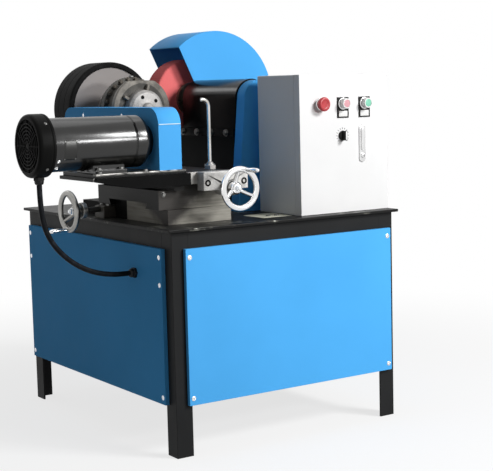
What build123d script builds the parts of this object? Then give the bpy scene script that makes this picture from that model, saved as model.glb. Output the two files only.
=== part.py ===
from build123d import *
import math
import os

# Pipe polishing machine on an angle iron stand, in millimetres.
# Places are measured from the near left corner of the stand: +X right, +Y away, +Z up.
# At the end everything moves so that the origin is under the middle of the machine.

# Clearances and the overrun of cuts
overrun = 1.0
slide_gap = 0.3
running_gap = 0.08
seat_gap = 0.3
door_gap = 0.8

# Stand of angle iron
base_width = 740.0
base_depth = 880.0
leg_height = 600.0
leg_angle = 50.0
leg_wall = 5.0
rail_angle = 45.0
rail_wall = 5.0
lower_rail_rise = 145.0

# Sheet panels screwed onto the outside of the legs
panel_bottom = 139.0
panel_drop = 45.0
panel_depth = 12.0
panel_sheet = 2.0
panel_near_inset = 35.0
panel_far_inset = 15.0

# Top plate
plate_thickness = 8.0
plate_overhang = 14.0

# Control cabinet
cabinet_width = 312.0
cabinet_depth = 204.0
cabinet_height = 391.0
cabinet_left = 437.0
cabinet_front = 26.0
cabinet_sheet = 2.0
door_depth = 26.0

# Controls on the door, measured from its left edge and from its lower edge
stop_head_radius = 20.0
stop_head_depth = 14.0
button_radius = 14.5
button_depth = 12.0
stem_radius = 8.0
collar_radius = 17.0
collar_depth = 5.0
press_travel = 4.0
button_row_height = 308.0
stop_across = 72.0
off_across = 150.0
on_across = 227.0
selector_height = 218.0
selector_across = 148.0
selector_radius = 14.0
selector_depth = 7.0
selector_grip_width = 8.0
selector_grip_depth = 14.0
lock_across = 218.0
lock_low = 141.0
lock_high = 246.0
lock_width = 22.0
lock_depth = 9.0
legend_width = 40.0
legend_height = 58.0
legend_depth = 2.0
legend_drop = 11.0

# Polishing wheel and its spindle
wheel_x = 468.0
wheel_rise = 327.0
wheel_radius = 125.0
wheel_width = 76.0
wheel_near = 655.0
wheel_edge = 6.0
wheel_flange_radius = 52.0
wheel_flange_width = 10.0
spindle_radius = 20.0
spindle_nut_radius = 28.0
spindle_nut_width = 22.0

# Spindle bearing housing and its pedestal
housing_radius = 58.0
housing_clearance = 4.0
housing_far = 606.0
housing_flange_height = 24.0
housing_flange_spread = 10.0
pedestal_width = 130.0
pedestal_height = 216.0
pedestal_far = 630.0
pedestal_foot_width = 200.0
pedestal_foot_height = 20.0

# Belt cover of the spindle, behind the cabinet
rear_cover_near = 264.0
rear_cover_depth = 40.0
rear_cover_radius = 54.0
rear_cover_foot_half = 85.0
cover_sheet = 2.0

# Guard over the polishing wheel, measured from the centre of its band
guard_offset_x = 73.0
guard_offset_z = 1.0
guard_radius = 211.0
guard_sheet = 3.0
guard_near = 610.0
guard_depth = 187.0
guard_start_angle = 130.5
guard_end_angle = 19.0
guard_left_run = -80.0
guard_left_rise = 42.0
guard_right_run = 149.0
guard_right_rise = 51.0
post_width = 50.0
post_run = 130.0
post_sink = 90.0

# Cross slide under the guide wheel
slide_left = 49.0
slide_width = 201.0
slide_near = 98.0
slide_length = 228.0
rear_base_length = 272.0
slide_height = 40.0
dovetail_height = 16.0
dovetail_half = 110.0
dovetail_flare = 10.0
saddle_left = 30.0
saddle_right = 244.0
saddle_near = 110.0
saddle_length = 350.0
saddle_height = 52.0
table_way_half = 50.0
table_way_flare = 8.0
table_way_height = 14.0

# Top table that carries motor, gearbox and guide wheel
table_left = 18.0
table_right = 237.0
table_near = 80.0
table_length = 540.0
table_thickness = 32.0
table_rib_half = 75.0
wing_left = -175.0
wing_depth = 200.0
wing_thickness = 9.0
skirt_right = 104.0
skirt_taper_right = -60.0
skirt_depth = 16.0
skirt_end_radius = 4.0
motor_plate_left = -168.0
motor_plate_right = 100.0
motor_plate_depth = 193.0
motor_plate_thickness = 10.0
cross_travel = 20.0

# Belt cover beside the motor
cover_left = 20.0
cover_width = 68.0
cover_near = 82.0
cover_rise = 174.4
cover_near_radius = 46.0
cover_far_radius = 40.0

# Guide motor, its axis along X
motor_y = 152.0
motor_rise = 77.4
motor_radius = 69.0
motor_length = 277.0
motor_end_radius = 8.0
motor_flange_radius = 42.0
motor_flange_length = 20.0
cowl_radius = 81.0
cowl_length = 46.0
cowl_edge = 8.0
foot_left = -160.0
foot_length = 92.0
foot_width = 110.0
foot_base = 9.0
foot_web = 80.0

# Worm gearbox with its round covers, its shaft along Y
gear_x = 186.0
gear_rise = 164.4
gear_end_gap = 48.0
gear_depth = 92.0
gear_radius = 84.0
gear_flange_radius = 95.0
gear_flange_start = 44.0
gear_flange_width = 18.0
gear_block_width = 112.0
gear_foot_height = 14.0
gear_foot_spread = 20.0
gear_ring_radius = 97.0
gear_ring_width = 20.0
gear_face_radius = 72.0
gear_face_width = 16.0
gear_boss_radius = 40.0
gear_boss_width = 22.0
worm_rise = 87.4
worm_boss_radius = 34.0

# Guide wheel
guide_reach = 80.0
guide_clearance = 10.0
guide_width = 114.0
guide_radius = 143.0
guide_disc_radius = 126.0
guide_disc_recess = 5.0
guide_shaft_radius = 22.0
guide_hub_radius = 46.0
guide_hub_width = 34.0

# Handwheels
handwheel_radius = 60.0
handwheel_rim_radius = 8.0
handwheel_hub_radius = 17.0
handwheel_hub_length = 26.0
handwheel_dish = 10.0
spoke_radius = 6.5
spoke_count = 3
grip_radius = 7.0
grip_length = 58.0
screw_radius = 8.0

# Feed screw along X, on the left of the cross slide
feed_y = 420.0
feed_rise = 25.0
feed_wheel_x = -85.0
feed_bracket_length = 38.0
feed_bracket_width = 56.0
feed_bracket_height = 35.0
feed_screw_reach = 60.0
feed_dial_radius = 22.0
feed_dial_length = 14.0
feed_spoke_turn = 100.0
feed_grip_turn = -80.0

# Cross screw along Y, at the front of the table
cross_x = 203.0
cross_rise = 2.7
cross_wheel_y = -22.0
cross_bracket_width = 141.0
cross_bracket_depth = 34.0
cross_bracket_drop = 6.0
cross_boss_radius = 22.0
cross_screw_reach = 120.0
cross_dial_radius = 19.0
cross_dial_length = 27.0
cross_spoke_turn = -28.0
cross_grip_turn = 73.0

# Bent rod that the pipe rests on
rest_x = 226.0
rest_y = 162.0
rest_rod_radius = 5.0
rest_rise = 191.0
rest_bend_radius = 20.0
rest_hook = 3.0
rest_foot_radius = 14.0
rest_foot_height = 14.0

# Motor cable, with its route measured from the near left corner of the stand and the top of its plate
cable_radius = 7.0
gland_radius = 13.0
gland_length = 18.0
cable_exit_x = -293.0
cable_entry_y = 178.0
cable_entry_drop = 129.0
cable_inside = 90.0
cable_hole_gap = 3.0
cable_bend_share = 0.45
cable_route = [
    (-293.0, 152.0, 62.0),
    (-275.0, 157.0, -7.0),
    (-228.0, 164.0, -65.0),
    (-160.0, 172.0, -109.0),
    (-84.0, 178.0, -129.0),
]

# Heights and places worked out from the sizes above
plate_top = leg_height + plate_thickness
slide_top = plate_top + slide_height
saddle_bottom = slide_top + slide_gap
saddle_top = saddle_bottom + saddle_height
table_bottom = saddle_top + table_way_height + slide_gap
table_top = table_bottom + table_thickness
motor_plate_top = table_top + motor_plate_thickness
panel_top = leg_height - panel_drop
wheel_z = plate_top + wheel_rise
pedestal_top = plate_top + pedestal_height
cover_top = table_top + cover_rise
motor_z = motor_plate_top + motor_rise
gear_z = table_top + gear_rise
worm_z = table_top + worm_rise
feed_z = plate_top + feed_rise
cross_z = saddle_top + cross_rise
cable_entry_z = plate_top - cable_entry_drop
slide_far = slide_near + slide_length + rear_base_length
slide_middle_y = saddle_near + saddle_length / 2
slide_right = slide_left + slide_width
saddle_middle_x = (saddle_left + saddle_right) / 2
plate_wing_far = table_near + motor_plate_depth
rear_cover_far = rear_cover_near + rear_cover_depth
housing_near = rear_cover_far + housing_clearance
guard_x = wheel_x + guard_offset_x
guard_z = wheel_z + guard_offset_z
cabinet_bottom = plate_top
door_back = cabinet_front + door_depth
body_front = door_back + door_gap
cabinet_back = cabinet_front + cabinet_depth
cabinet_right = cabinet_left + cabinet_width
guard_far = guard_near + guard_depth
wheel_far = wheel_near + wheel_width
table_far = table_near + table_length
gear_far = table_far - gear_end_gap
gear_near = gear_far - gear_depth
guide_near = gear_far + guide_reach
guide_far = guide_near + guide_width
cover_right = cover_left + cover_width
cover_far = guide_near - guide_clearance
motor_right = cover_left - motor_flange_length
motor_left = motor_right - motor_length
cowl_left = motor_left - cowl_length


def block(x_span, y_span, z_span):
    size = [span[1] - span[0] for span in (x_span, y_span, z_span)]
    return Pos(x_span[0], y_span[0], z_span[0]) * Box(*size, align=(Align.MIN, Align.MIN, Align.MIN))


def round_y(x, z, y_span, radius):
    plane = Plane((x, y_span[0], z), x_dir=(1, 0, 0), z_dir=(0, 1, 0))
    return extrude(plane * Circle(radius), y_span[1] - y_span[0])


def round_x(y, z, x_span, radius):
    plane = Plane((x_span[0], y, z), x_dir=(0, 1, 0), z_dir=(1, 0, 0))
    return extrude(plane * Circle(radius), x_span[1] - x_span[0])


def round_z(x, y, z_span, radius):
    return extrude(Pos(x, y, z_span[0]) * Circle(radius), z_span[1] - z_span[0])


def along_y(outline, y_span):
    # An outline drawn in X and Z, carried along Y
    plane = Plane((0, y_span[0], 0), x_dir=(1, 0, 0), z_dir=(0, -1, 0))
    return extrude(plane * outline, y_span[0] - y_span[1])


def along_x(outline, x_span):
    # An outline drawn in Y and Z, carried along X
    plane = Plane((x_span[0], 0, 0), x_dir=(0, 1, 0), z_dir=(1, 0, 0))
    return extrude(plane * outline, x_span[1] - x_span[0])


def polygon(points):
    return make_face(Polyline(*points, close=True))


nodes = {}

# Four legs of angle iron, the corner of each angle outwards


def leg(right, far):
    x_edge = base_width if right else 0
    y_edge = base_depth if far else 0
    x_way = -1 if right else 1
    y_way = -1 if far else 1

    def flange(x_reach, y_reach):
        x_span = sorted((x_edge, x_edge + x_way * x_reach))
        y_span = sorted((y_edge, y_edge + y_way * y_reach))
        return block(x_span, y_span, (0, leg_height))

    return flange(leg_angle, leg_wall) + flange(leg_wall, leg_angle)


for far, depth_word in enumerate(("front", "back")):
    for right, side_word in enumerate(("left", "right")):
        nodes[f"leg_{depth_word}_{side_word}"] = leg(right, far)

# Rails of angle iron between the legs, upright flange outwards


def rail_set(z_low, flat_low):
    z_span = (z_low, z_low + rail_angle)
    flat_bottom = z_low if flat_low else z_low + rail_angle - rail_wall
    flat_span = (flat_bottom, flat_bottom + rail_wall)
    x_run = (leg_angle, base_width - leg_angle)
    y_run = (leg_angle, base_depth - leg_angle)
    rails = []
    for edge, inner in ((0, rail_angle), (base_depth, base_depth - rail_angle)):
        upright_edge = rail_wall if edge == 0 else base_depth - rail_wall
        upright = block(x_run, sorted((edge, upright_edge)), z_span)
        rails.append(upright + block(x_run, sorted((edge, inner)), flat_span))
    for edge, inner in ((0, rail_angle), (base_width, base_width - rail_angle)):
        upright_edge = rail_wall if edge == 0 else base_width - rail_wall
        upright = block(sorted((edge, upright_edge)), y_run, z_span)
        rails.append(upright + block(sorted((edge, inner)), y_run, flat_span))
    return Compound(rails)


nodes["top_rails"] = rail_set(leg_height - rail_angle, False)
nodes["lower_rails"] = rail_set(lower_rail_rise, True)

# Tray panels on the four sides, open towards the legs


def tray(x_span, y_span, open_side):
    outer = block(x_span, y_span, (panel_bottom, panel_top))
    x_low, x_high = x_span[0] + panel_sheet, x_span[1] - panel_sheet
    y_low, y_high = y_span[0] + panel_sheet, y_span[1] - panel_sheet
    if open_side == "right":
        x_high = x_span[1] + overrun
    if open_side == "left":
        x_low = x_span[0] - overrun
    if open_side == "back":
        y_high = y_span[1] + overrun
    if open_side == "front":
        y_low = y_span[0] - overrun
    inside_height = (panel_bottom + panel_sheet, panel_top - panel_sheet)
    return outer - block((x_low, x_high), (y_low, y_high), inside_height)


panel_x_run = (panel_near_inset, base_width - panel_far_inset)
panel_y_run = (panel_near_inset, base_depth - panel_far_inset)
nodes["front_panel"] = tray(panel_x_run, (-panel_depth, 0), "back")
nodes["back_panel"] = tray(panel_x_run, (base_depth, base_depth + panel_depth), "front")
nodes["right_panel"] = tray((base_width, base_width + panel_depth), panel_y_run, "left")
cable_hole = round_x(
    cable_entry_y, cable_entry_z, (-panel_depth - overrun, overrun), cable_radius + cable_hole_gap
)
nodes["left_panel"] = tray((-panel_depth, 0), panel_y_run, "right") - cable_hole

nodes["top_plate"] = block(
    (-plate_overhang, base_width + plate_overhang),
    (-plate_overhang, base_depth + plate_overhang),
    (leg_height, plate_top),
)

# Control cabinet: a sheet box open to the front, and a tray door hinged on its left edge
cabinet_x = (cabinet_left, cabinet_right)
cabinet_z = (cabinet_bottom, cabinet_bottom + cabinet_height)
cabinet_inside_x = (cabinet_left + cabinet_sheet, cabinet_right - cabinet_sheet)
cabinet_inside_z = (cabinet_z[0] + cabinet_sheet, cabinet_z[1] - cabinet_sheet)
nodes["cabinet_body"] = block(cabinet_x, (body_front, cabinet_back), cabinet_z) - block(
    cabinet_inside_x, (body_front - overrun, cabinet_back - cabinet_sheet), cabinet_inside_z
)

door_lift = door_gap
door_z = (cabinet_z[0] + door_lift, cabinet_z[1])
door = block(cabinet_x, (cabinet_front, door_back), door_z) - block(
    cabinet_inside_x,
    (cabinet_front + cabinet_sheet, door_back + overrun),
    (door_z[0] + cabinet_sheet, door_z[1] - cabinet_sheet),
)


def on_door(across, height):
    return cabinet_left + across, cabinet_bottom + height


def door_hole(across, height, radius):
    x, z = on_door(across, height)
    return round_y(x, z, (cabinet_front - overrun, cabinet_front + cabinet_sheet + overrun), radius)


for across in (stop_across, off_across, on_across):
    door -= door_hole(across, button_row_height, stem_radius + running_gap)
door -= door_hole(selector_across, selector_height, stem_radius + running_gap)
nodes["cabinet_door"] = door

# Push buttons: a head on a stem through the door, with room to be pressed


def push_button(across, head_radius, head_depth):
    x, z = on_door(across, button_row_height)
    head_back = cabinet_front - collar_depth - press_travel - seat_gap
    stem_end = cabinet_front + cabinet_sheet + press_travel + seat_gap
    head = round_y(x, z, (head_back - head_depth, head_back), head_radius)
    stem = round_y(x, z, (head_back, stem_end), stem_radius)
    keeper_span = (stem_end, stem_end + cabinet_sheet)
    return head + stem + round_y(x, z, keeper_span, collar_radius)


def button_collar(across):
    x, z = on_door(across, button_row_height)
    ring = round_y(x, z, (cabinet_front - collar_depth, cabinet_front), collar_radius)
    return ring - round_y(
        x, z, (cabinet_front - collar_depth - overrun, cabinet_front + overrun), stem_radius + running_gap
    )


def legend_plate(across):
    x, z = on_door(across, button_row_height)
    middle = z - legend_drop
    plate = block(
        (x - legend_width / 2, x + legend_width / 2),
        (cabinet_front - legend_depth, cabinet_front),
        (middle - legend_height / 2, middle + legend_height / 2),
    )
    hole_span = (cabinet_front - legend_depth - overrun, cabinet_front + overrun)
    return plate - round_y(x, z, hole_span, collar_radius)


nodes["emergency_stop"] = push_button(stop_across, stop_head_radius, stop_head_depth)
nodes["off_button"] = push_button(off_across, button_radius, button_depth)
nodes["on_button"] = push_button(on_across, button_radius, button_depth)
nodes["button_collars"] = Compound([button_collar(across) for across in (stop_across, off_across, on_across)])
nodes["legend_plates"] = Compound([legend_plate(across) for across in (off_across, on_across)])

selector_x, selector_z = on_door(selector_across, selector_height)
selector_face = cabinet_front - seat_gap - selector_depth
selector_dial = round_y(selector_x, selector_z, (selector_face, cabinet_front - seat_gap), selector_radius)
selector_grip = block(
    (selector_x - selector_grip_width / 2, selector_x + selector_grip_width / 2),
    (selector_face - selector_grip_depth, selector_face),
    (selector_z - selector_radius, selector_z + selector_radius),
)
selector_stem_end = cabinet_front + cabinet_sheet + seat_gap
selector_stem = round_y(selector_x, selector_z, (cabinet_front - seat_gap, selector_stem_end), stem_radius)
selector_keeper = round_y(
    selector_x, selector_z, (selector_stem_end, selector_stem_end + cabinet_sheet), collar_radius
)
nodes["selector_switch"] = selector_dial + selector_grip + selector_stem + selector_keeper

lock_x, lock_bottom = on_door(lock_across, lock_low)
lock_outline = SlotOverall(lock_high - lock_low, lock_width, rotation=90)
lock_middle = lock_bottom + (lock_high - lock_low) / 2
nodes["door_lock"] = along_y(
    Pos(lock_x, lock_middle) * lock_outline, (cabinet_front - lock_depth, cabinet_front)
)

# Polishing wheel, clamped between flanges on its spindle
spindle_start = rear_cover_near + rear_cover_depth / 2
wheel = round_y(wheel_x, wheel_z, (wheel_near, wheel_far), wheel_radius)
wheel = fillet(wheel.edges().filter_by(GeomType.CIRCLE), wheel_edge)
wheel -= round_y(wheel_x, wheel_z, (wheel_near - overrun, wheel_far + overrun), spindle_radius)
nodes["polishing_wheel"] = wheel
near_flange = (wheel_near - wheel_flange_width, wheel_near)
far_flange = (wheel_far, wheel_far + wheel_flange_width)
nut_span = (far_flange[1], far_flange[1] + spindle_nut_width)
spindle = round_y(wheel_x, wheel_z, (spindle_start, nut_span[1]), spindle_radius)
spindle += round_y(wheel_x, wheel_z, near_flange, wheel_flange_radius)
spindle += round_y(wheel_x, wheel_z, far_flange, wheel_flange_radius)
nut_plane = Plane((wheel_x, nut_span[0], wheel_z), x_dir=(1, 0, 0), z_dir=(0, 1, 0))
spindle += extrude(nut_plane * RegularPolygon(spindle_nut_radius, 6), spindle_nut_width)
nodes["wheel_spindle"] = spindle

# Bearing housing of the spindle on a welded pedestal
housing = round_y(wheel_x, wheel_z, (housing_near, housing_far), housing_radius)
housing += block(
    (wheel_x - housing_radius, wheel_x + housing_radius), (housing_near, housing_far), (pedestal_top, wheel_z)
)
flange_half = housing_radius + housing_flange_spread
housing += block(
    (wheel_x - flange_half, wheel_x + flange_half),
    (housing_near, pedestal_far),
    (pedestal_top, pedestal_top + housing_flange_height),
)
housing -= round_y(
    wheel_x, wheel_z, (housing_near - overrun, housing_far + overrun), spindle_radius + running_gap
)
nodes["spindle_housing"] = housing
pedestal_y = (housing_near, pedestal_far)
pedestal = block(
    (wheel_x - pedestal_width / 2, wheel_x + pedestal_width / 2), pedestal_y, (plate_top, pedestal_top)
)
pedestal += block(
    (wheel_x - pedestal_foot_width / 2, wheel_x + pedestal_foot_width / 2),
    pedestal_y,
    (plate_top, plate_top + pedestal_foot_height),
)
nodes["spindle_pedestal"] = pedestal

# Belt cover of the spindle: straight sides that spread downwards, and a round top


def rear_outline(shrink):
    radius = rear_cover_radius - shrink
    foot = rear_cover_foot_half - shrink
    left, right = wheel_x - radius, wheel_x + radius
    arch = ThreePointArc((left, wheel_z), (wheel_x, wheel_z + radius), (right, wheel_z))
    foot_points = [(wheel_x + foot, plate_top), (wheel_x - foot, plate_top)]
    sides = Polyline((right, wheel_z), *foot_points, (left, wheel_z))
    return make_face([arch, sides])


rear_cover = along_y(rear_outline(0), (rear_cover_near, rear_cover_far))
rear_cover -= along_y(
    rear_outline(cover_sheet), (rear_cover_near + cover_sheet, rear_cover_far - cover_sheet)
)
rear_cover_bore = (rear_cover_far - rear_cover_depth / 2, rear_cover_far + overrun)
rear_cover -= round_y(wheel_x, wheel_z, rear_cover_bore, spindle_radius + seat_gap)
nodes["spindle_belt_cover"] = rear_cover

# Guard: a band round the top of the wheel between two side plates, open below and towards the pipe


def guard_point(angle, radius):
    turn = math.radians(angle)
    return guard_x + radius * math.cos(turn), guard_z + radius * math.sin(turn)


guard_arc = ThreePointArc(
    guard_point(guard_start_angle, guard_radius),
    guard_point((guard_start_angle + guard_end_angle) / 2, guard_radius),
    guard_point(guard_end_angle, guard_radius),
)
guard_edge = Polyline(
    guard_point(guard_end_angle, guard_radius),
    (guard_x + guard_right_run, guard_z + guard_right_rise),
    (guard_x + guard_left_run, guard_z + guard_left_rise),
    guard_point(guard_start_angle, guard_radius),
)
guard = along_y(make_face([guard_arc, guard_edge]), (guard_near, guard_far))
guard -= round_y(
    guard_x, guard_z, (guard_near + guard_sheet, guard_far - guard_sheet), guard_radius - guard_sheet
)
nodes["wheel_guard"] = guard
post_x = guard_x + post_run
nodes["guard_post"] = block(
    (post_x - post_width / 2, post_x + post_width / 2),
    (guard_far, guard_far + post_width),
    (plate_top, guard_z + guard_right_rise + post_sink),
)

# Cross slide: a base with a dovetail along X


def dovetail_outline(middle, half, flare, low, high):
    return polygon(
        [
            (middle - half + flare, low),
            (middle + half - flare, low),
            (middle + half, high),
            (middle - half, high),
        ]
    )


def slide_casting(y_span):
    casting = block((slide_left, slide_right), y_span, (plate_top, slide_top))
    dovetail_top = slide_top + dovetail_height
    dovetail = along_x(
        dovetail_outline(slide_middle_y, dovetail_half, dovetail_flare, slide_top, dovetail_top),
        (slide_left, slide_right),
    )
    between = block((slide_left, slide_right), y_span, (slide_top, dovetail_top))
    casting += dovetail & between
    return casting - round_x(
        feed_y, feed_z, (slide_left - overrun, slide_left + feed_screw_reach), screw_radius + running_gap
    )


slide_seam = slide_near + slide_length
nodes["slide_base"] = slide_casting((slide_near, slide_seam))
nodes["slide_rear_base"] = slide_casting((slide_seam, slide_far))

# Saddle that rides the base along X and carries a narrower dovetail along Y
saddle_x = (saddle_left, saddle_right)
saddle_y = (saddle_near, saddle_near + saddle_length)
saddle = block(saddle_x, saddle_y, (saddle_bottom, saddle_top))
saddle -= along_x(
    dovetail_outline(
        slide_middle_y,
        dovetail_half + slide_gap,
        dovetail_flare,
        saddle_bottom - slide_gap,
        slide_top + dovetail_height + slide_gap,
    ),
    (saddle_x[0] - overrun, saddle_x[1] + overrun),
)
saddle += along_y(
    dovetail_outline(
        saddle_middle_x, table_way_half, table_way_flare, saddle_top, saddle_top + table_way_height
    ),
    saddle_y,
)
saddle -= round_y(
    cross_x, cross_z, (saddle_y[0] - overrun, saddle_y[0] + cross_screw_reach), screw_radius + seat_gap
)
nodes["saddle"] = saddle

# Top table with a wing to the left under the motor, and a rib below that slides along Y on the saddle
table_y = (table_near, table_far)
table = block((table_left, table_right), table_y, (table_bottom, table_top))
table += block(
    (wing_left, table_left), (table_near, table_near + wing_depth), (table_top - wing_thickness, table_top)
)
rib_x = (saddle_middle_x - table_rib_half, saddle_middle_x + table_rib_half)
table += block(rib_x, table_y, (saddle_top + slide_gap, table_bottom))
table -= along_y(
    dovetail_outline(
        saddle_middle_x,
        table_way_half + slide_gap,
        table_way_flare,
        saddle_top,
        saddle_top + table_way_height + slide_gap,
    ),
    (table_y[0] - overrun, table_y[1] + overrun),
)
table -= round_y(
    cross_x, cross_z, (table_y[0] - overrun, saddle_near + cross_screw_reach), screw_radius + seat_gap
)
nodes["top_table"] = table
skirt_outline = polygon(
    [
        (wing_left, table_top),
        (wing_left, table_top - wing_thickness),
        (skirt_taper_right, table_bottom),
        (skirt_right, table_bottom),
        (skirt_right, table_top),
    ]
)
skirt = along_y(skirt_outline, (table_near - skirt_depth, table_near))
skirt_end = skirt.edges().filter_by(Axis.Y).sort_by(Axis.X)[:2]
nodes["table_skirt"] = fillet(skirt_end, skirt_end_radius)
nodes["motor_plate"] = block(
    (motor_plate_left, motor_plate_right), (table_near, plate_wing_far), (table_top, motor_plate_top)
)

# Belt cover beside the motor: a rounded hood, open below


def cover_outline(shrink):
    near, far = cover_near + shrink, cover_far - shrink
    top = cover_top - shrink
    near_radius, far_radius = cover_near_radius - shrink, cover_far_radius - shrink
    diagonal = math.sqrt(2) / 2
    near_arc = ThreePointArc(
        (near, top - near_radius),
        (near + near_radius - near_radius * diagonal, top - near_radius + near_radius * diagonal),
        (near + near_radius, top),
    )
    far_arc = ThreePointArc(
        (far - far_radius, top),
        (far - far_radius + far_radius * diagonal, top - far_radius + far_radius * diagonal),
        (far, top - far_radius),
    )
    ridge = Line((near + near_radius, top), (far - far_radius, top))
    below = Polyline(
        (far, top - far_radius),
        (far, table_top),
        (plate_wing_far + seat_gap, table_top),
        (plate_wing_far + seat_gap, motor_plate_top),
        (near, motor_plate_top),
        (near, top - near_radius),
    )
    return make_face([near_arc, ridge, far_arc, below])


hood = along_x(cover_outline(0), (cover_left, cover_right))
hood -= along_x(cover_outline(cover_sheet), (cover_left + cover_sheet, cover_right - cover_sheet))
nodes["guide_belt_cover"] = hood

# Guide motor: shell with a rounded drive end, a foot, and a fan cowl at its left end
motor_shell = round_x(motor_y, motor_z, (motor_left, motor_right), motor_radius)
motor_shell = fillet(motor_shell.edges().filter_by(GeomType.CIRCLE).sort_by(Axis.X)[-1:], motor_end_radius)
motor_shell += round_x(motor_y, motor_z, (motor_right, cover_left), motor_flange_radius)
nodes["motor_body"] = motor_shell
cowl = round_x(motor_y, motor_z, (cowl_left, motor_left), cowl_radius)
cowl = fillet(cowl.edges().filter_by(GeomType.CIRCLE).sort_by(Axis.X)[:1], cowl_edge)
nodes["fan_cowl"] = cowl
foot_x = (foot_left, foot_left + foot_length)
foot = block(
    foot_x,
    (motor_y - foot_width / 2, motor_y + foot_width / 2),
    (motor_plate_top, motor_plate_top + foot_base),
)
foot += block(foot_x, (motor_y - foot_web / 2, motor_y + foot_web / 2), (motor_plate_top, motor_z))
foot -= round_x(motor_y, motor_z, (foot_x[0] - overrun, foot_x[1] + overrun), motor_radius)
nodes["motor_foot"] = foot

# Worm gearbox: round housing with a flange, on a block with a foot, and its worm's boss at the belt cover
gear_y = (gear_near, gear_far)
gear_block_x = (gear_x - gear_block_width / 2, gear_x + gear_block_width / 2)
gearbox = round_y(gear_x, gear_z, gear_y, gear_radius)
flange_near = gear_near + gear_flange_start
gearbox += round_y(gear_x, gear_z, (flange_near, flange_near + gear_flange_width), gear_flange_radius)
gearbox += block(gear_block_x, gear_y, (table_top, gear_z))
foot_right = min(gear_block_x[1] + gear_foot_spread, table_right)
gearbox += block(
    (cover_right + seat_gap, foot_right),
    (gear_near - gear_foot_spread, gear_far + gear_foot_spread),
    (table_top, table_top + gear_foot_height),
)
gear_middle_y = gear_near + gear_depth / 2
gearbox += round_x(gear_middle_y, worm_z, (cover_right, gear_x), worm_boss_radius)
gearbox -= round_y(
    gear_x, gear_z, (gear_near - overrun, gear_far + overrun), guide_shaft_radius + running_gap
)
nodes["gearbox"] = gearbox
ring_near = gear_near - gear_ring_width
face_near = ring_near - gear_face_width
boss_near = face_near - gear_boss_width
bearing_cover = round_y(gear_x, gear_z, (ring_near, gear_near), gear_ring_radius)
bearing_cover += round_y(gear_x, gear_z, (face_near, ring_near), gear_face_radius)
bearing_cover += round_y(gear_x, gear_z, (boss_near, face_near), gear_boss_radius)
nodes["gearbox_cover"] = bearing_cover

# Guide wheel: a rubber tyre on a steel disc, with the shaft that the gearbox turns
tyre = round_y(gear_x, gear_z, (guide_near, guide_far), guide_radius)
tyre -= round_y(gear_x, gear_z, (guide_near - overrun, guide_far + overrun), guide_disc_radius)
nodes["guide_tyre"] = tyre
disc_y = (guide_near + guide_disc_recess, guide_far - guide_disc_recess)
disc = round_y(gear_x, gear_z, disc_y, guide_disc_radius)
disc += round_y(gear_x, gear_z, (gear_near, disc_y[0]), guide_shaft_radius)
disc += round_y(gear_x, gear_z, (disc_y[0] - guide_hub_width, disc_y[0]), guide_hub_radius)
nodes["guide_disc"] = disc

# Handwheels: a round rim on straight spokes, a hub and a crank grip


def handwheel(spoke_turn):
    # Built about the Z axis with its face up, centred on the rim
    middle_radius = handwheel_radius - handwheel_rim_radius
    rim_outline = Plane.XZ * Pos(middle_radius, 0) * Circle(handwheel_rim_radius)
    rim = revolve(rim_outline, Axis.Z)
    hub_middle = -handwheel_dish - handwheel_hub_length / 2
    rim += Pos(0, 0, hub_middle) * Cylinder(handwheel_hub_radius, handwheel_hub_length)
    reach = math.hypot(middle_radius, hub_middle)
    lean = math.degrees(math.atan2(middle_radius, -hub_middle))
    for index in range(spoke_count):
        turn = spoke_turn + index * 360 / spoke_count
        spoke = Cylinder(spoke_radius, reach, align=(Align.CENTER, Align.CENTER, Align.MIN))
        rim += Rot(0, 0, turn) * Pos(0, 0, hub_middle) * Rot(0, lean, 0) * spoke
    return rim


def crank_grip(turn):
    middle_radius = handwheel_radius - handwheel_rim_radius
    grip = Cylinder(grip_radius, grip_length, align=(Align.CENTER, Align.CENTER, Align.MIN))
    return Rot(0, 0, turn) * Pos(middle_radius, 0, handwheel_rim_radius + seat_gap) * grip


def wheel_axle(dial_radius, dial_length, shaft_end):
    # Shaft and graduated dial behind the hub
    hub_back = -handwheel_dish - handwheel_hub_length
    behind = (Align.CENTER, Align.CENTER, Align.MAX)
    dial = Cylinder(dial_radius, dial_length, align=behind)
    shaft = Cylinder(screw_radius, shaft_end + hub_back, align=behind)
    return Pos(0, 0, hub_back) * (dial + shaft)


feed_place = Plane((feed_wheel_x, feed_y, feed_z), x_dir=(0, -1, 0), z_dir=(-1, 0, 0)).location
feed_bracket_x = (slide_left - feed_bracket_length, slide_left)
feed_shaft_end = slide_left + feed_screw_reach - slide_gap - feed_wheel_x
nodes["feed_handwheel"] = feed_place * handwheel(feed_spoke_turn)
nodes["feed_grip"] = feed_place * crank_grip(feed_grip_turn)
nodes["feed_screw"] = feed_place * wheel_axle(feed_dial_radius, feed_dial_length, feed_shaft_end)
feed_bracket = block(
    feed_bracket_x,
    (feed_y - feed_bracket_width / 2, feed_y + feed_bracket_width / 2),
    (plate_top, plate_top + feed_bracket_height),
)
feed_bracket -= round_x(
    feed_y, feed_z, (feed_bracket_x[0] - overrun, feed_bracket_x[1] + overrun), screw_radius + running_gap
)
nodes["feed_bracket"] = feed_bracket

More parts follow.
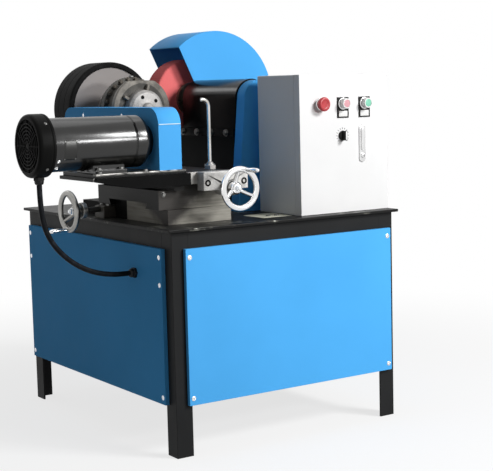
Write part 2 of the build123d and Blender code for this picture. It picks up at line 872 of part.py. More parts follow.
cross_place = Plane((cross_x, cross_wheel_y, cross_z), x_dir=(1, 0, 0), z_dir=(0, -1, 0)).location
cross_bracket_y = (table_near - cross_bracket_depth, table_near)
cross_shaft_end = saddle_near + cross_screw_reach - cross_travel - screw_radius - cross_wheel_y
nodes["cross_handwheel"] = cross_place * handwheel(cross_spoke_turn)
nodes["cross_grip"] = cross_place * crank_grip(cross_grip_turn)
nodes["cross_screw"] = cross_place * wheel_axle(cross_dial_radius, cross_dial_length, cross_shaft_end)
cross_bracket = block(
    (cross_x - cross_bracket_width / 2, cross_x + cross_bracket_width / 2),
    cross_bracket_y,
    (cross_z - cross_bracket_drop, table_top),
)
cross_bracket += round_y(cross_x, cross_z, cross_bracket_y, cross_boss_radius)
cross_bracket -= round_y(
    cross_x, cross_z, (cross_bracket_y[0] - overrun, cross_bracket_y[1] + overrun), screw_radius + running_gap
)
nodes["cross_bracket"] = cross_bracket

# Bent rod on the table that the pipe rests on
rest_corner_z = table_top + rest_rise
rest_path = FilletPolyline(
    (rest_x, rest_y, table_top + rest_foot_height),
    (rest_x, rest_y, rest_corner_z),
    (rest_x - rest_bend_radius - rest_hook, rest_y, rest_corner_z),
    radius=rest_bend_radius,
)
rest_start = Plane((rest_x, rest_y, table_top + rest_foot_height), z_dir=(0, 0, 1))
pipe_rest = sweep(rest_start * Circle(rest_rod_radius), path=rest_path)
pipe_rest += round_z(rest_x, rest_y, (table_top, table_top + rest_foot_height), rest_foot_radius)
nodes["pipe_rest"] = pipe_rest

# Cable from the motor to the stand, with a gland at each end
cable_exit_z = motor_z - cowl_radius
exit_gland_bottom = cable_exit_z - gland_length
cowl_seat = round_x(motor_y, motor_z, (cowl_left, motor_left), cowl_radius)
exit_gland = round_z(cable_exit_x, motor_y, (exit_gland_bottom, cable_exit_z + gland_length), gland_radius)
exit_gland -= cowl_seat
nodes["motor_gland"] = exit_gland
entry_gland_x = (-panel_depth - gland_length, -panel_depth)
entry_gland = round_x(cable_entry_y, cable_entry_z, entry_gland_x, gland_radius)
entry_gland -= round_x(
    cable_entry_y,
    cable_entry_z,
    (entry_gland_x[0] - overrun, entry_gland_x[1] + overrun),
    cable_radius + seat_gap,
)
nodes["panel_gland"] = entry_gland

cable_points = [
    (cable_exit_x, motor_y, exit_gland_bottom),
    *[(x, y, plate_top + z) for x, y, z in cable_route],
    (cable_inside, cable_entry_y, cable_entry_z),
]


def cable_radii(points):
    radii = []
    for before, corner, after in zip(points, points[1:], points[2:]):
        run_in = Vector(*corner) - Vector(*before)
        run_out = Vector(*after) - Vector(*corner)
        half_turn = math.radians(run_in.get_angle(run_out)) / 2
        shorter = min(run_in.length, run_out.length)
        radii.append(cable_bend_share * shorter / math.tan(half_turn))
    return radii


bend_radii = cable_radii(cable_points)
print("cable bend radii", [round(radius) for radius in bend_radii])
cable_path = FilletPolyline(*cable_points, radius=bend_radii)
cable_start = Plane(cable_points[0], z_dir=cable_path % 0)
cable = sweep(cable_start * Circle(cable_radius), path=cable_path)
cable_section = math.pi * cable_radius**2
print("cable volume over section times length", cable.volume / (cable_section * cable_path.length))
nodes["motor_cable"] = cable

# Origin on the floor under the middle of the machine, cable left out
cord_names = ["motor_cable"]
limits = [solid.bounding_box() for name, solid in nodes.items() if name not in cord_names]
x_middle = (min(box.min.X for box in limits) + max(box.max.X for box in limits)) / 2
y_middle = (min(box.min.Y for box in limits) + max(box.max.Y for box in limits)) / 2
shift = Pos(-x_middle, -y_middle, -min(box.min.Z for box in limits))
print("shift", tuple(shift.position))

os.makedirs("parts", exist_ok=True)
for name, solid in nodes.items():
    export_step(shift * solid, f"parts/{name}.step")
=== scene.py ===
import math
import bmesh
import bpy
import numpy as np
from mathutils import Matrix, Vector


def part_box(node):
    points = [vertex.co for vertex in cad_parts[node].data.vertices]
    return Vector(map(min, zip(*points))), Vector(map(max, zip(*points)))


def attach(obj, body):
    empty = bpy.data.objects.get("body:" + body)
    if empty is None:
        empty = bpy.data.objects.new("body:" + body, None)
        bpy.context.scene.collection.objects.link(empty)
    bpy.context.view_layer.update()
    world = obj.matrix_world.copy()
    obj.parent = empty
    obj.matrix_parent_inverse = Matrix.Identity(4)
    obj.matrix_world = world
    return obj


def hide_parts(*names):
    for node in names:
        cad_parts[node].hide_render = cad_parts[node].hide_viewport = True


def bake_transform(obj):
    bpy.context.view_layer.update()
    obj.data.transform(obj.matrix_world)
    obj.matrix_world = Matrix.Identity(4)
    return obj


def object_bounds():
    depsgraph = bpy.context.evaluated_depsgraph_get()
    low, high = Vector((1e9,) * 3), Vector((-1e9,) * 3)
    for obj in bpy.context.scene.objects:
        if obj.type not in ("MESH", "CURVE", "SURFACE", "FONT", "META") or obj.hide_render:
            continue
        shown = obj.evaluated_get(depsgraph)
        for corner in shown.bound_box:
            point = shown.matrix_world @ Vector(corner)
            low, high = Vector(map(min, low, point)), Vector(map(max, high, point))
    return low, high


# Pipe polishing machine: the looks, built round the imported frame.
# Shapes are in millimetres until piece() brings them to the frame's metres.

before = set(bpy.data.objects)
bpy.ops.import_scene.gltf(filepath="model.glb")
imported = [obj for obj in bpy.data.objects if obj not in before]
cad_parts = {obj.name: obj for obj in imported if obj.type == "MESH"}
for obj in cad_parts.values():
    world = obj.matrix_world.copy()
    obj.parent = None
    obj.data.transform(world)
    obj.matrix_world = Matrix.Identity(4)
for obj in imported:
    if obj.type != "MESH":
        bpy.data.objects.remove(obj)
cadLow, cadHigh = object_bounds()
mm = 0.001
print("frame: loaded", len(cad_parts), "nodes")


def low(node):
    return np.array(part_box(node)[0]) / mm


def high(node):
    return np.array(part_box(node)[1]) / mm


def mid(node):
    return (low(node) + high(node)) / 2


def farEnd(node):  # the middle of its far side
    return np.array([mid(node)[0], high(node)[1], mid(node)[2]])


def fromCorner(x, y, z):  # measured from the near left corner of the stand
    return low("leg_front_left") + np.array([x, y, z])


# Surfaces


def gridShape(points, wrapU=False, wrapV=False):
    # points[i, j] lie on a grid; quads join neighbours, round the wrap where asked
    rows, columns = points.shape[:2]
    index = np.arange(rows * columns).reshape(rows, columns)
    if wrapU:
        index = np.vstack([index, index[:1]])
    if wrapV:
        index = np.hstack([index, index[:, :1]])
    quads = np.stack([index[:-1, :-1], index[1:, :-1], index[1:, 1:], index[:-1, 1:]], -1)
    return points.reshape(-1, 3), quads.reshape(-1, 4)


def joined(*shapes):
    starts = np.cumsum([0] + [len(shape[0]) for shape in shapes[:-1]])
    points = np.vstack([shape[0] for shape in shapes])
    return points, np.vstack([shape[1] + start for shape, start in zip(shapes, starts)])


def placed(shape, origin, axes=np.eye(3)):
    # local x, y and z run along the three rows of axes, from origin
    return shape[0] @ np.array(axes, float) + np.array(origin, float), shape[1]


def repeated(shape, offsets):
    # one copy of the shape at each offset, as one array
    offsets = np.asarray(offsets, float)
    points = shape[0][None] + offsets[:, None]
    quads = shape[1][None] + (np.arange(len(offsets)) * len(shape[0]))[:, None, None]
    return points.reshape(-1, 3), quads.reshape(-1, 4)


def spun(shape, angles):
    # copies turned about local z by each angle
    angles = np.radians(np.asarray(angles, float))
    c, s, o, l = np.cos(angles), np.sin(angles), np.zeros(len(angles)), np.ones(len(angles))
    turns = np.stack([np.stack([c, s, o], -1), np.stack([-s, c, o], -1), np.stack([o, o, l], -1)], 1)
    points = np.einsum("pk,akl->apl", shape[0], turns)
    quads = shape[1][None] + (np.arange(len(angles)) * len(shape[0]))[:, None, None]
    return points.reshape(-1, 3), quads.reshape(-1, 4)


def softCorners(points, reach, steps=5, closed=False):
    # each corner B between A and C becomes (1-t)^2 P + 2t(1-t) B + t^2 Q, P and Q at reach from B
    points = np.asarray(points, float)

    def toward(other):
        step = other - points
        length = np.maximum(np.linalg.norm(step, axis=1, keepdims=True), 1e-9)
        return points + step / length * np.minimum(reach, 0.45 * length)

    t = np.linspace(0, 1, steps)[None, :, None]
    start, end = toward(np.roll(points, 1, 0))[:, None], toward(np.roll(points, -1, 0))[:, None]
    curve = (1 - t) ** 2 * start + 2 * t * (1 - t) * points[:, None] + t**2 * end
    if closed:
        return curve.reshape(-1, points.shape[1])
    return np.vstack([points[:1], curve[1:-1].reshape(-1, points.shape[1]), points[-1:]])


def turned(profile, count, ring=False):
    # surface of revolution: (r cos a, r sin a, h) for each profile point (r, h) and angle a
    profile = np.asarray(profile, float)
    angle = np.linspace(0, 2 * np.pi, count, endpoint=False)[:, None]
    height = np.broadcast_to(profile[:, 1], (count, len(profile)))
    grid = np.stack([np.cos(angle) * profile[:, 0], np.sin(angle) * profile[:, 0], height], -1)
    return gridShape(grid, wrapU=True, wrapV=ring)


def slab(outline, height, edge, steps=4):
    # outline (x, y) lifted along z; at both ends it shrinks along its normals by a quarter circle
    outline = np.asarray(outline, float)
    tangent = np.roll(outline, -1, 0) - np.roll(outline, 1, 0)
    normal = np.stack([tangent[:, 1], -tangent[:, 0]], -1)
    normal /= np.maximum(np.linalg.norm(normal, axis=1, keepdims=True), 1e-9)
    x, y = outline.T
    if np.sum(x * np.roll(y, -1) - np.roll(x, -1) * y) < 0:
        normal = -normal
    turn = np.linspace(0, np.pi / 2, steps)
    rise, inset = edge * (1 - np.cos(turn)), edge * (1 - np.sin(turn))
    lift = np.concatenate([[0], rise, height - rise[::-1], [height]])
    inset = np.concatenate([[edge], inset, inset[::-1], [edge]])
    rings = outline[None] - normal[None] * inset[:, None, None]
    rings[[0, -1]] = outline.mean(0)  # both ends close on the middle
    levels = np.broadcast_to(lift[:, None, None], rings.shape[:2] + (1,))
    return gridShape(np.concatenate([rings, levels], -1), wrapV=True)


def rectangle(width, depth, radius, steps):
    x, y = width / 2, depth / 2
    return softCorners([(-x, -y), (x, -y), (x, y), (-x, y)], radius, steps, closed=True)


def lathe(profile, soft, count=64, ring=False, steps=5):  # turned profile with softened corners
    return turned(softCorners(profile, soft, steps, ring), count, ring)


def flatPlate(width, depth, radius, height, edge, corners=6, steps=4):  # rounded rectangle, lifted
    return slab(rectangle(width, depth, radius, corners), height, edge, steps)


def brick(lowPoint, highPoint, edge, radius=None):
    # rectangular block between two corners, every edge rounded
    lowPoint, highPoint = np.asarray(lowPoint, float), np.asarray(highPoint, float)
    size = highPoint - lowPoint
    shape = flatPlate(size[0], size[1], radius or edge, size[2], edge)
    return placed(shape, [(lowPoint[0] + highPoint[0]) / 2, (lowPoint[1] + highPoint[1]) / 2, lowPoint[2]])


def tube(path, radii, sides, reference=(0, 1, 0), flat=1.0):
    # ellipse square to the path: P + r (cos a N + flat sin a B), with the ends closed
    path = np.asarray(path, float)
    along = np.gradient(path, axis=0)
    along /= np.linalg.norm(along, axis=1, keepdims=True)
    side = np.cross(along, np.asarray(reference, float))
    side /= np.linalg.norm(side, axis=1, keepdims=True)
    other = np.cross(along, side)
    angle = np.linspace(0, 2 * np.pi, sides, endpoint=False)[None, :, None]
    radius = np.broadcast_to(np.asarray(radii, float), (len(path),))[:, None, None]
    grid = path[:, None] + radius * (np.cos(angle) * side[:, None] + flat * np.sin(angle) * other[:, None])
    ends = [np.broadcast_to(path[i], (1, sides, 3)) for i in (0, -1)]
    return gridShape(np.concatenate([ends[0], grid, ends[1]]), wrapV=True)


def hexHead(radius, height):  # bolt head with a washer under it
    head = turned([(0, height), (0.86 * radius, height), (radius, 0.86 * height), (radius, 0), (0, 0)], 6)
    washer = turned([(0, 0.2 * height), (1.3 * radius, 0.2 * height), (1.3 * radius, 0), (0, 0)], 24)
    return joined(head, washer)


def crossScrew(radius, height):
    # dome h(1 - (r/R)^2) with a cross pressed into it where min(|x|, |y|) is small
    reach = np.linspace(0, 1, 9)[None, :] ** 0.8
    angle = np.linspace(0, 2 * np.pi, 32, endpoint=False)[:, None]
    x, y = reach * np.cos(angle), reach * np.sin(angle)
    dome = 0.35 + 0.65 * (1 - reach**2) * np.ones_like(angle)
    pressed = (np.minimum(abs(x), abs(y)) < 0.14) & (np.maximum(abs(x), abs(y)) < 0.62)
    top = np.stack([x * radius, y * radius, (dome - 0.4 * pressed) * height], -1)
    base = np.stack([x[:, -1:] * radius, y[:, -1:] * radius, np.zeros_like(x[:, -1:])], -1)
    return gridShape(np.concatenate([top, base], 1), wrapU=True)


def socketHead(radius, height):  # cap screw with a hexagon pressed into it
    profile = [(0, 0.45 * height), (0.52 * radius, 0.45 * height), (0.52 * radius, height)]
    profile += [(0.9 * radius, height), (radius, 0.88 * height), (radius, 0), (0, 0)]
    return turned(profile, 24)


def around(count):  # even turns, in degrees
    return np.arange(count) * 360 / count


def crossed(places, rows, height):  # every x with every y
    return [(x, y, height) for x in places for y in rows]


def heads(shape, spots, facing=np.eye(3)):  # the same shape at each spot
    return repeated(placed(shape, (0, 0, 0), facing), spots)


# Ways that a piece can face: rows are its local x, y and z
faceFront = [(1, 0, 0), (0, 0, 1), (0, -1, 0)]
faceBack = [(-1, 0, 0), (0, 0, 1), (0, 1, 0)]
faceLeft = [(0, -1, 0), (0, 0, 1), (-1, 0, 0)]
faceRight = [(0, 1, 0), (0, 0, 1), (1, 0, 0)]
faceDown = [(1, 0, 0), (0, -1, 0), (0, 0, -1)]


smoothAngle = math.radians(35)  # sharper edges stay crisp
mergeReach = 1e-6  # metres


def piece(name, shape, body, finish, replaces=()):
    points, quads = shape
    mesh = bpy.data.meshes.new(name)
    mesh.from_pydata(points * mm, [], quads)
    work = bmesh.new()
    work.from_mesh(mesh)
    bmesh.ops.remove_doubles(work, verts=work.verts, dist=mergeReach)
    bmesh.ops.recalc_face_normals(work, faces=work.faces)
    work.to_mesh(mesh)
    work.free()
    mesh.polygons.foreach_set("use_smooth", np.ones(len(mesh.polygons), bool))
    mesh.set_sharp_from_angle(angle=smoothAngle)
    mesh.materials.append(finish.material)
    thing = bpy.data.objects.new(name, mesh)
    bpy.context.scene.collection.objects.link(thing)
    if body:
        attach(thing, body)
    if replaces:
        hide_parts(*replaces)
    return thing


def pieces(body, spot, facing, parts):
    # several pieces at one place: name, shape, finish, and the node that it stands for
    for name, shape, finish, *replaces in parts:
        piece(name, placed(shape, spot, facing), body, finish, replaces)


# Finishes


class Wire:  # a shader socket that takes part in sums
    def __init__(self, tree, socket):
        self.tree = tree
        self.socket = socket

    def maths(self, operation, other=0.0, flipped=False):
        node = self.tree.nodes.new("ShaderNodeMath")
        node.operation = operation
        for slot, value in zip(node.inputs, (other, self) if flipped else (self, other)):
            if isinstance(value, Wire):
                self.tree.links.new(value.socket, slot)
            else:
                slot.default_value = value
        return Wire(self.tree, node.outputs[0])

    def __add__(self, other):
        return self.maths("ADD", other)

    def __sub__(self, other):
        return self.maths("SUBTRACT", other)

    def __rsub__(self, other):
        return self.maths("SUBTRACT", other, True)

    def __mul__(self, other):
        return self.maths("MULTIPLY", other)

    def __pow__(self, other):
        return self.maths("POWER", other)

    def __lt__(self, other):
        return self.maths("LESS_THAN", other)

    __radd__ = __add__
    __rmul__ = __mul__


class Finish:  # one material and the slot that it belongs to
    def __init__(self, name, slot, color, roughness, metallic=0.0, **constants):
        self.material = bpy.data.materials.new(name)
        self.material.use_nodes = True
        self.slot = slot
        self.tree = self.material.node_tree
        self.shader = self.tree.nodes["Principled BSDF"]
        constants = {"Base Color": (*color, 1.0), "Roughness": roughness, "Metallic": metallic, **constants}
        for socket, value in constants.items():
            self.shader.inputs[socket.replace("_", " ")].default_value = value
        self.place = self.node("ShaderNodeTexCoord", output="Object")

    def node(self, kind, settings=None, sockets=None, output=0):
        made = self.tree.nodes.new(kind)
        for key, value in (settings or {}).items():
            setattr(made, key, value)
        for key, value in (sockets or {}).items():
            if isinstance(value, Wire):
                self.tree.links.new(value.socket, made.inputs[key])
            else:
                made.inputs[key].default_value = value
        return Wire(self.tree, made.outputs[output])

    def stretched(self, scale, turn=(0, 0, 0)):
        return self.node("ShaderNodeMapping", None, {"Vector": self.place, "Scale": scale, "Rotation": turn})

    def noise(self, scale, detail=3.0, roughness=0.55, vector=None):
        sockets = {"Vector": vector or self.place, "Scale": scale, "Detail": detail, "Roughness": roughness}
        return self.node("ShaderNodeTexNoise", None, sockets)

    def span(self, value, fromLow, fromHigh, toLow=0.0, toHigh=1.0):
        sockets = {0: value, 1: fromLow, 2: fromHigh, 3: toLow, 4: toHigh}
        return self.node("ShaderNodeMapRange", {"interpolation_type": "SMOOTHSTEP"}, sockets)

    def mix(self, factor, first, second):
        first, second = (value if isinstance(value, Wire) else (*value, 1.0) for value in (first, second))
        return self.node("ShaderNodeMix", {"data_type": "RGBA"}, {0: factor, 6: first, 7: second}, 2)

    def axes(self):  # the object's own x, y and z as three values
        split = self.tree.nodes.new("ShaderNodeSeparateXYZ")
        self.tree.links.new(self.place.socket, split.inputs[0])
        return [Wire(self.tree, split.outputs[i]) for i in range(3)]

    def feed(self, socket, wire):
        self.tree.links.new(wire.socket, self.shader.inputs[socket])
        return self

    def bump(self, height, strength, distance):
        sockets = {"Height": height, "Strength": strength, "Distance": distance}
        return self.feed("Normal", self.node("ShaderNodeBump", None, sockets))


def scaled(color, share):
    return tuple(min(1.0, share * channel) for channel in color)


def paint(name, slot, color, roughness, tint=0.06, peel=900.0, peelDepth=0.00006, shine=0.1):
    # sprayed paint: slight cloudiness, orange peel, and dust that dulls the gloss in patches
    finish = Finish(name, slot, color, roughness, Specular_IOR_Level=shine)
    cloud = finish.noise(3.5, 4.0)
    dark = scaled(color, 1 - 2 * tint)
    light = tuple(min(1.0, channel * (1 + tint) + 0.002) for channel in color)
    finish.feed("Base Color", finish.mix(finish.span(cloud, 0.3, 0.7), dark, light))
    dust = finish.noise(22.0, 5.0)
    finish.feed("Roughness", roughness + (dust - 0.5) * 0.16)
    return finish.bump(finish.noise(peel, 2.0), 0.25, peelDepth)


def wornPaint(name, slot, color, bare, roughness, amount, shine):
    # paint rubbed through in patches and scratches, where bare metal shows
    finish = Finish(name, slot, color, roughness, Specular_IOR_Level=shine)
    patch = finish.noise(14.0, 8.0, 0.68)
    scratch = finish.noise(30.0, 4.0, 0.6, finish.stretched((0.25, 6.0, 6.0), (0, 0, 0.35)))
    rubbed = finish.span(patch * 0.7 + scratch * 0.3, 0.62 - amount, 0.72 - amount)
    cloud = finish.mix(finish.noise(5.0), scaled(color, 0.7), scaled(color, 1.2))
    finish.feed("Base Color", finish.mix(rubbed, cloud, bare))
    finish.feed("Metallic", rubbed * 0.8)
    finish.feed("Roughness", roughness - rubbed * 0.12 + (patch - 0.5) * 0.2)
    return finish.bump(patch + finish.noise(400.0, 2.0) * 0.3, 0.2, 0.0003)


def machined(name, slot, color, roughness, lines=(2.0, 240.0, 240.0), stain=0.35):
    # cutter lines along one way, oil stains and small rust specks
    finish = Finish(name, slot, color, roughness, 0.85)
    cut = finish.noise(6.0, 4.0, 0.6, finish.stretched(lines))
    film = finish.noise(7.0, 6.0, 0.62)
    oilStainAndShade = finish.span(film, 0.48, 0.72)
    oiled = tuple(channel * (1 - stain) * warmth for channel, warmth in zip(color, (1.0, 0.96, 0.88)))
    bright = finish.mix(cut, scaled(color, 0.82), scaled(color, 1.12))
    speck = finish.span(finish.noise(160.0, 3.0), 0.68, 0.76)
    finish.feed("Base Color", finish.mix(speck * 0.5, finish.mix(oilStainAndShade, bright, oiled), (0.10, 0.07, 0.05)))
    finish.feed("Roughness", roughness + (cut - 0.5) * 0.18 - oilStainAndShade * 0.08)
    return finish.bump(cut, 0.18, 0.00025)


def casting(name, slot, color, roughness, metallic, grain=220.0):
    # sand cast skin: coarse grain, darker in its hollows, rubbed bright on the grains
    finish = Finish(name, slot, color, roughness, metallic)
    skin = finish.noise(grain, 5.0, 0.65)
    grime = finish.span(finish.noise(16.0, 6.0, 0.7), 0.42, 0.68)
    worn = finish.mix(skin, scaled(color, 0.55), scaled(color, 1.35))
    finish.feed("Base Color", finish.mix(grime * 0.75, worn, scaled(color, 0.28)))
    finish.feed("Roughness", roughness + (skin - 0.5) * 0.3 + grime * 0.1)
    return finish.bump(skin, 0.5, 0.0006)


def plastic(name, slot, color, roughness, shine=0.5, coat=0.0):
    # moulded plastic with a fine spark texture and finger marks
    finish = Finish(name, slot, color, roughness, Specular_IOR_Level=shine, Coat_Weight=coat)
    smear = finish.noise(60.0, 4.0)
    light = tuple(min(1.0, 1.1 * channel + 0.004) for channel in color)
    finish.feed("Base Color", finish.mix(smear, scaled(color, 0.88), light))
    finish.feed("Roughness", roughness + (smear - 0.5) * 0.2)
    return finish.bump(finish.noise(1400.0, 2.0), 0.15, 0.00005)


def plated(name, slot, color, roughness):
    # bright plating with polishing marks and dull finger prints
    finish = Finish(name, slot, color, roughness, 1.0)
    mark = finish.noise(18.0, 5.0, 0.65)
    dull = finish.span(mark, 0.5, 0.7)
    finish.feed("Base Color", finish.mix(dull * 0.6, color, scaled(color, 0.62)))
    finish.feed("Roughness", roughness + dull * 0.16)
    return finish.bump(finish.noise(300.0, 3.0), 0.1, 0.0001)


def rubberFinish(name, slot, color, roughness):
    # dull rubber with dusty scuffs
    finish = Finish(name, slot, color, roughness, Specular_IOR_Level=0.05)
    scuff = finish.noise(45.0, 6.0, 0.68)
    dusty = tuple(2.2 * channel + 0.006 for channel in color)
    finish.feed("Base Color", finish.mix(finish.span(scuff, 0.45, 0.75), color, dusty))
    finish.feed("Roughness", roughness + (scuff - 0.5) * 0.25)
    return finish.bump(finish.noise(500.0, 4.0) + scuff * 0.6, 0.45, 0.0006)


blackFrame = paint("blackFrame", "black_frame", (0.014, 0.0145, 0.015), 0.5, shine=0.1)
blackPlate = wornPaint("blackPlate", "black_plate", (0.009, 0.009, 0.009), (0.20, 0.20, 0.175), 0.42, 0.085,
                       shine=0.1)
bluePanel = paint("bluePanel", "blue_panel", (0.09, 0.46, 0.95), 0.45, 0.02, shine=0.03)
blueCover = paint("blueCover", "blue_cover", (0.09, 0.455, 0.95), 0.4, 0.02, shine=0.03)
cabinetCoat = paint("cabinetCoat", "white_cabinet", (0.80, 0.80, 0.80), 0.45, 0.015, 700.0, 0.0001,
                    shine=0.25)
blackSlide = paint("blackSlide", "black_slide", (0.006, 0.006, 0.006), 0.45, 0.1, 260.0, 0.0003, shine=0.02)
motorBlack = paint("motorBlack", "black_motor", (0.005, 0.005, 0.0045), 0.2, 0.05, 500.0, 0.00005, shine=0.55)
cowlBlack = paint("cowlBlack", "black_motor", (0.006, 0.006, 0.0058), 0.4, 0.05, 500.0, 0.00005, shine=0.03)
housingGloss = paint("housingGloss", "black_slide", (0.007, 0.007, 0.007), 0.2, 0.05, 300.0, 0.0001,
                     shine=0.17)
groundSteel = machined("groundSteel", "machined_steel", (0.42, 0.41, 0.37), 0.36)
# screw steel darkened as painted shade, for the feed screw that lies in shadow; the cross screw shares it
shadeDarkScrew = machined("shadeDarkScrew", "machined_steel", (0.10, 0.10, 0.095), 0.4)
rodSteel = machined("rodSteel", "steel_rod", (0.60, 0.59, 0.57), 0.22, (200.0, 200.0, 3.0), 0.2)
# dark cast skin of the gearbox; also painted shade on the feed bracket and on the dark disc in the gear
# flange's recess
darkCastAndShade = casting("darkCastAndShade", "cast_gearbox", (0.050, 0.046, 0.038), 0.55, 0.2)
castCover = casting("castCover", "cast_cover", (0.36, 0.345, 0.33), 0.5, 0.3, 160.0)
castRing = casting("castRing", "cast_cover", (0.17, 0.155, 0.132), 0.55, 0.25, 90.0)
castBright = casting("castBright", "machined_steel", (0.58, 0.57, 0.55), 0.48, 0.3, 260.0)
rustBrown = casting("rustBrown", "cast_gearbox", (0.085, 0.070, 0.052), 0.6, 0.2, 200.0)
tyreRubber = rubberFinish("tyreRubber", "black_rubber", (0.005, 0.005, 0.005), 0.62)
discPaint = paint("discPaint", "grey_disc", (0.30, 0.275, 0.265), 0.5, 0.06, 300.0, 0.0003, shine=0.2)
brightPlate = plated("brightPlate", "bright_handwheel", (0.80, 0.80, 0.80), 0.14)
# darker, browner copy of the handwheel plating: painted shade on the feed wheel, which faces the unlit left,
# plus its older metal
shadedWheelPlate = plated("shadedWheelPlate", "bright_handwheel", (0.30, 0.295, 0.28), 0.3)
dialSteel = plated("dialSteel", "machined_steel", (0.55, 0.54, 0.52), 0.34)
lockChrome = plated("lockChrome", "lock_metal", (0.74, 0.74, 0.74), 0.2)
zincScrew = plated("zincScrew", "machined_steel", (0.72, 0.73, 0.74), 0.26)
dullScrew = plated("dullScrew", "machined_steel", (0.16, 0.16, 0.155), 0.42)
stopRed = plastic("stopRed", "red_button", (0.46, 0.03, 0.038), 0.32)
offPink = plastic("offPink", "pink_button", (0.70, 0.34, 0.38), 0.2, coat=0.3)
onGreen = plastic("onGreen", "green_button", (0.22, 0.62, 0.44), 0.2, coat=0.3)
blackPlastic = plastic("blackPlastic", "black_plastic", (0.012, 0.012, 0.012), 0.42, shine=0.15)
whitePlastic = plastic("whitePlastic", "black_plastic", (0.78, 0.78, 0.77), 0.4, shine=0.25)
# black for dial marks and screws; also painted shade for holes, slots and the cowl's inside
deepBlackAndHoleShade = plastic("deepBlackAndHoleShade", "black_plastic", (0.004, 0.004, 0.004), 0.7, shine=0.05)
paleSheet = paint("paleSheet", "machined_steel", (0.50, 0.50, 0.41), 0.55, 0.12, 120.0, shine=0.1)
cableJacket = rubberFinish("cableJacket", "black_cable", (0.010, 0.011, 0.013), 0.45)


def redWebFinish():
    # red nylon web: fine fibres running out from the middle, darker where it is pressed
    shine = {"Sheen_Weight": 0.05, "Specular_IOR_Level": 0.15}
    finish = Finish("redWeb", "red_wheel", (0.85, 0.14, 0.14), 0.8, **shine)
    fibre = finish.noise(120.0, 6.0, 0.7, finish.stretched((1.0, 0.16, 1.0)))
    felt = finish.noise(420.0, 4.0, 0.7)
    base = finish.mix(felt, (0.78, 0.10, 0.105), (0.97, 0.28, 0.28))
    finish.feed("Base Color", finish.mix(finish.span(fibre, 0.35, 0.7), base, (0.91, 0.19, 0.19)))
    return finish.bump(felt * 0.6 + fibre * 0.5, 0.6, 0.0012)


# edge, lean and fade of the painted diagonal shadow on the slide faces
paintedShadowLine = {"edge": 100.0, "near": 98.0, "floor": 630.0, "lean": 1.33, "along": 0.6, "fade": 24.0, "ragged": 50.0}


def paintedShadowMask(finish):
    # painted shadow: 1 on the shaded left of the line x = edge + lean (z - floor), which fades out towards
    # the back
    across, along, up = finish.axes()
    x, y, z = (float(value) * mm for value in fromCorner(paintedShadowLine["edge"], paintedShadowLine["near"], paintedShadowLine["floor"]))
    reach = (across - x) - (up - z) * paintedShadowLine["lean"] + (along - y) * paintedShadowLine["along"]
    reach = reach + (finish.noise(18.0, 5.0, 0.65) - 0.5) * (paintedShadowLine["ragged"] * mm)
    return 1 - finish.span(reach, -paintedShadowLine["fade"] * mm, paintedShadowLine["fade"] * mm)


def blackCoat(finish):  # slightly uneven black paint
    return finish.mix(finish.noise(6.0), (0.005, 0.005, 0.005), (0.011, 0.011, 0.010))


bareReach = 4.0  # how far the ground front goes back


def slideFinish(name, node=None, depth=0.0, pale=(0.34, 0.325, 0.285), dark=(0.045, 0.042, 0.039)):
    # streaked ground steel, darkened over its left part by a painted diagonal shadow; where a node is named,
    # black paint behind its ground front
    finish = Finish(name, "black_slide" if node else "machined_steel", pale, 0.45, Specular_IOR_Level=0.12)
    along, up = finish.axes()[1:]
    cut = finish.noise(6.0, 5.0, 0.65, finish.stretched((2.0, 2.0, 160.0)))
    streak = finish.span(finish.noise(5.0, 6.0, 0.7, finish.stretched((1.2, 1.2, 26.0))), 0.42, 0.66)
    steel = finish.mix(cut, scaled(pale, 0.7), scaled(pale, 1.15))
    steel = finish.mix(streak * 0.6, steel, scaled(pale, 0.42))
    # dark is the colour under the painted shadow
    oilStainAndShade = finish.mix(cut, scaled(dark, 0.6), scaled(dark, 1.7))
    steel = finish.mix(paintedShadowMask(finish), steel, oilStainAndShade)
    if node:
        front, base = float(low(node)[1] + bareReach) * mm, float(high(node)[2] - depth) * mm
        bare = (along < front) * (1 - (up < base))
        finish.feed("Base Color", finish.mix(bare, blackCoat(finish), steel))
        finish.feed("Metallic", bare * 0.25)
    else:
        finish.feed("Base Color", steel)
        finish.feed("Metallic", cut * 0.4)
    finish.feed("Roughness", 0.44 + (cut - 0.5) * 0.2)
    return finish.bump(cut, 0.2, 0.0003)


rubbedEdge = {"reach": 50.0, "fullShare": 0.2, "fadeStart": 6.0, "fadeEnd": 1.0}  # from the front and the top


def rubbedEdgeFinish(name, node):
    # black paint, rubbed to bright metal in streaks along the top edge of the front end
    finish = Finish(name, "black_slide", (0.008, 0.008, 0.008), 0.4, Specular_IOR_Level=0.15)
    along, up = finish.axes()[1:]
    streak = finish.noise(16.0, 6.0, 0.7, finish.stretched((0.6, 2.5, 2.5)))
    front, top = float(low(node)[1]) * mm, float(high(node)[2]) * mm
    reach = rubbedEdge["reach"] * mm
    near = 1 - finish.span(along, front + rubbedEdge["fullShare"] * reach, front + reach)
    upper = finish.span(up, top - rubbedEdge["fadeStart"] * mm, top - rubbedEdge["fadeEnd"] * mm)
    rubbed = near * upper * finish.span(streak, 0.44, 0.58)
    finish.feed("Base Color", finish.mix(rubbed, blackCoat(finish), (0.55, 0.54, 0.51)))
    finish.feed("Metallic", rubbed * 0.5)
    finish.feed("Roughness", 0.42 + (streak - 0.5) * 0.2)
    return finish.bump(streak, 0.15, 0.0003)


redWeb = redWebFinish()
slideSteel = slideFinish("slideSteel")
saddleFaces = slideFinish("saddleFaces", "saddle", 200.0)
tableFaces = slideFinish("tableFaces", "top_table", 32.5, (0.58, 0.57, 0.54), (0.40, 0.39, 0.37))
motorPlateFaces = rubbedEdgeFinish("motorPlateFaces", "motor_plate")
print("finishes: made", len(bpy.data.materials))

# Camera at the photograph's place

view = {"place": (-1646.2, -2832.8, 972.3), "azimuth": -33.57, "tilt": 6.69, "roll": -1.41}
view.update(focalPixels=1276.2, imageWidth=493, sensor=36.0)  # place is from the stand's corner


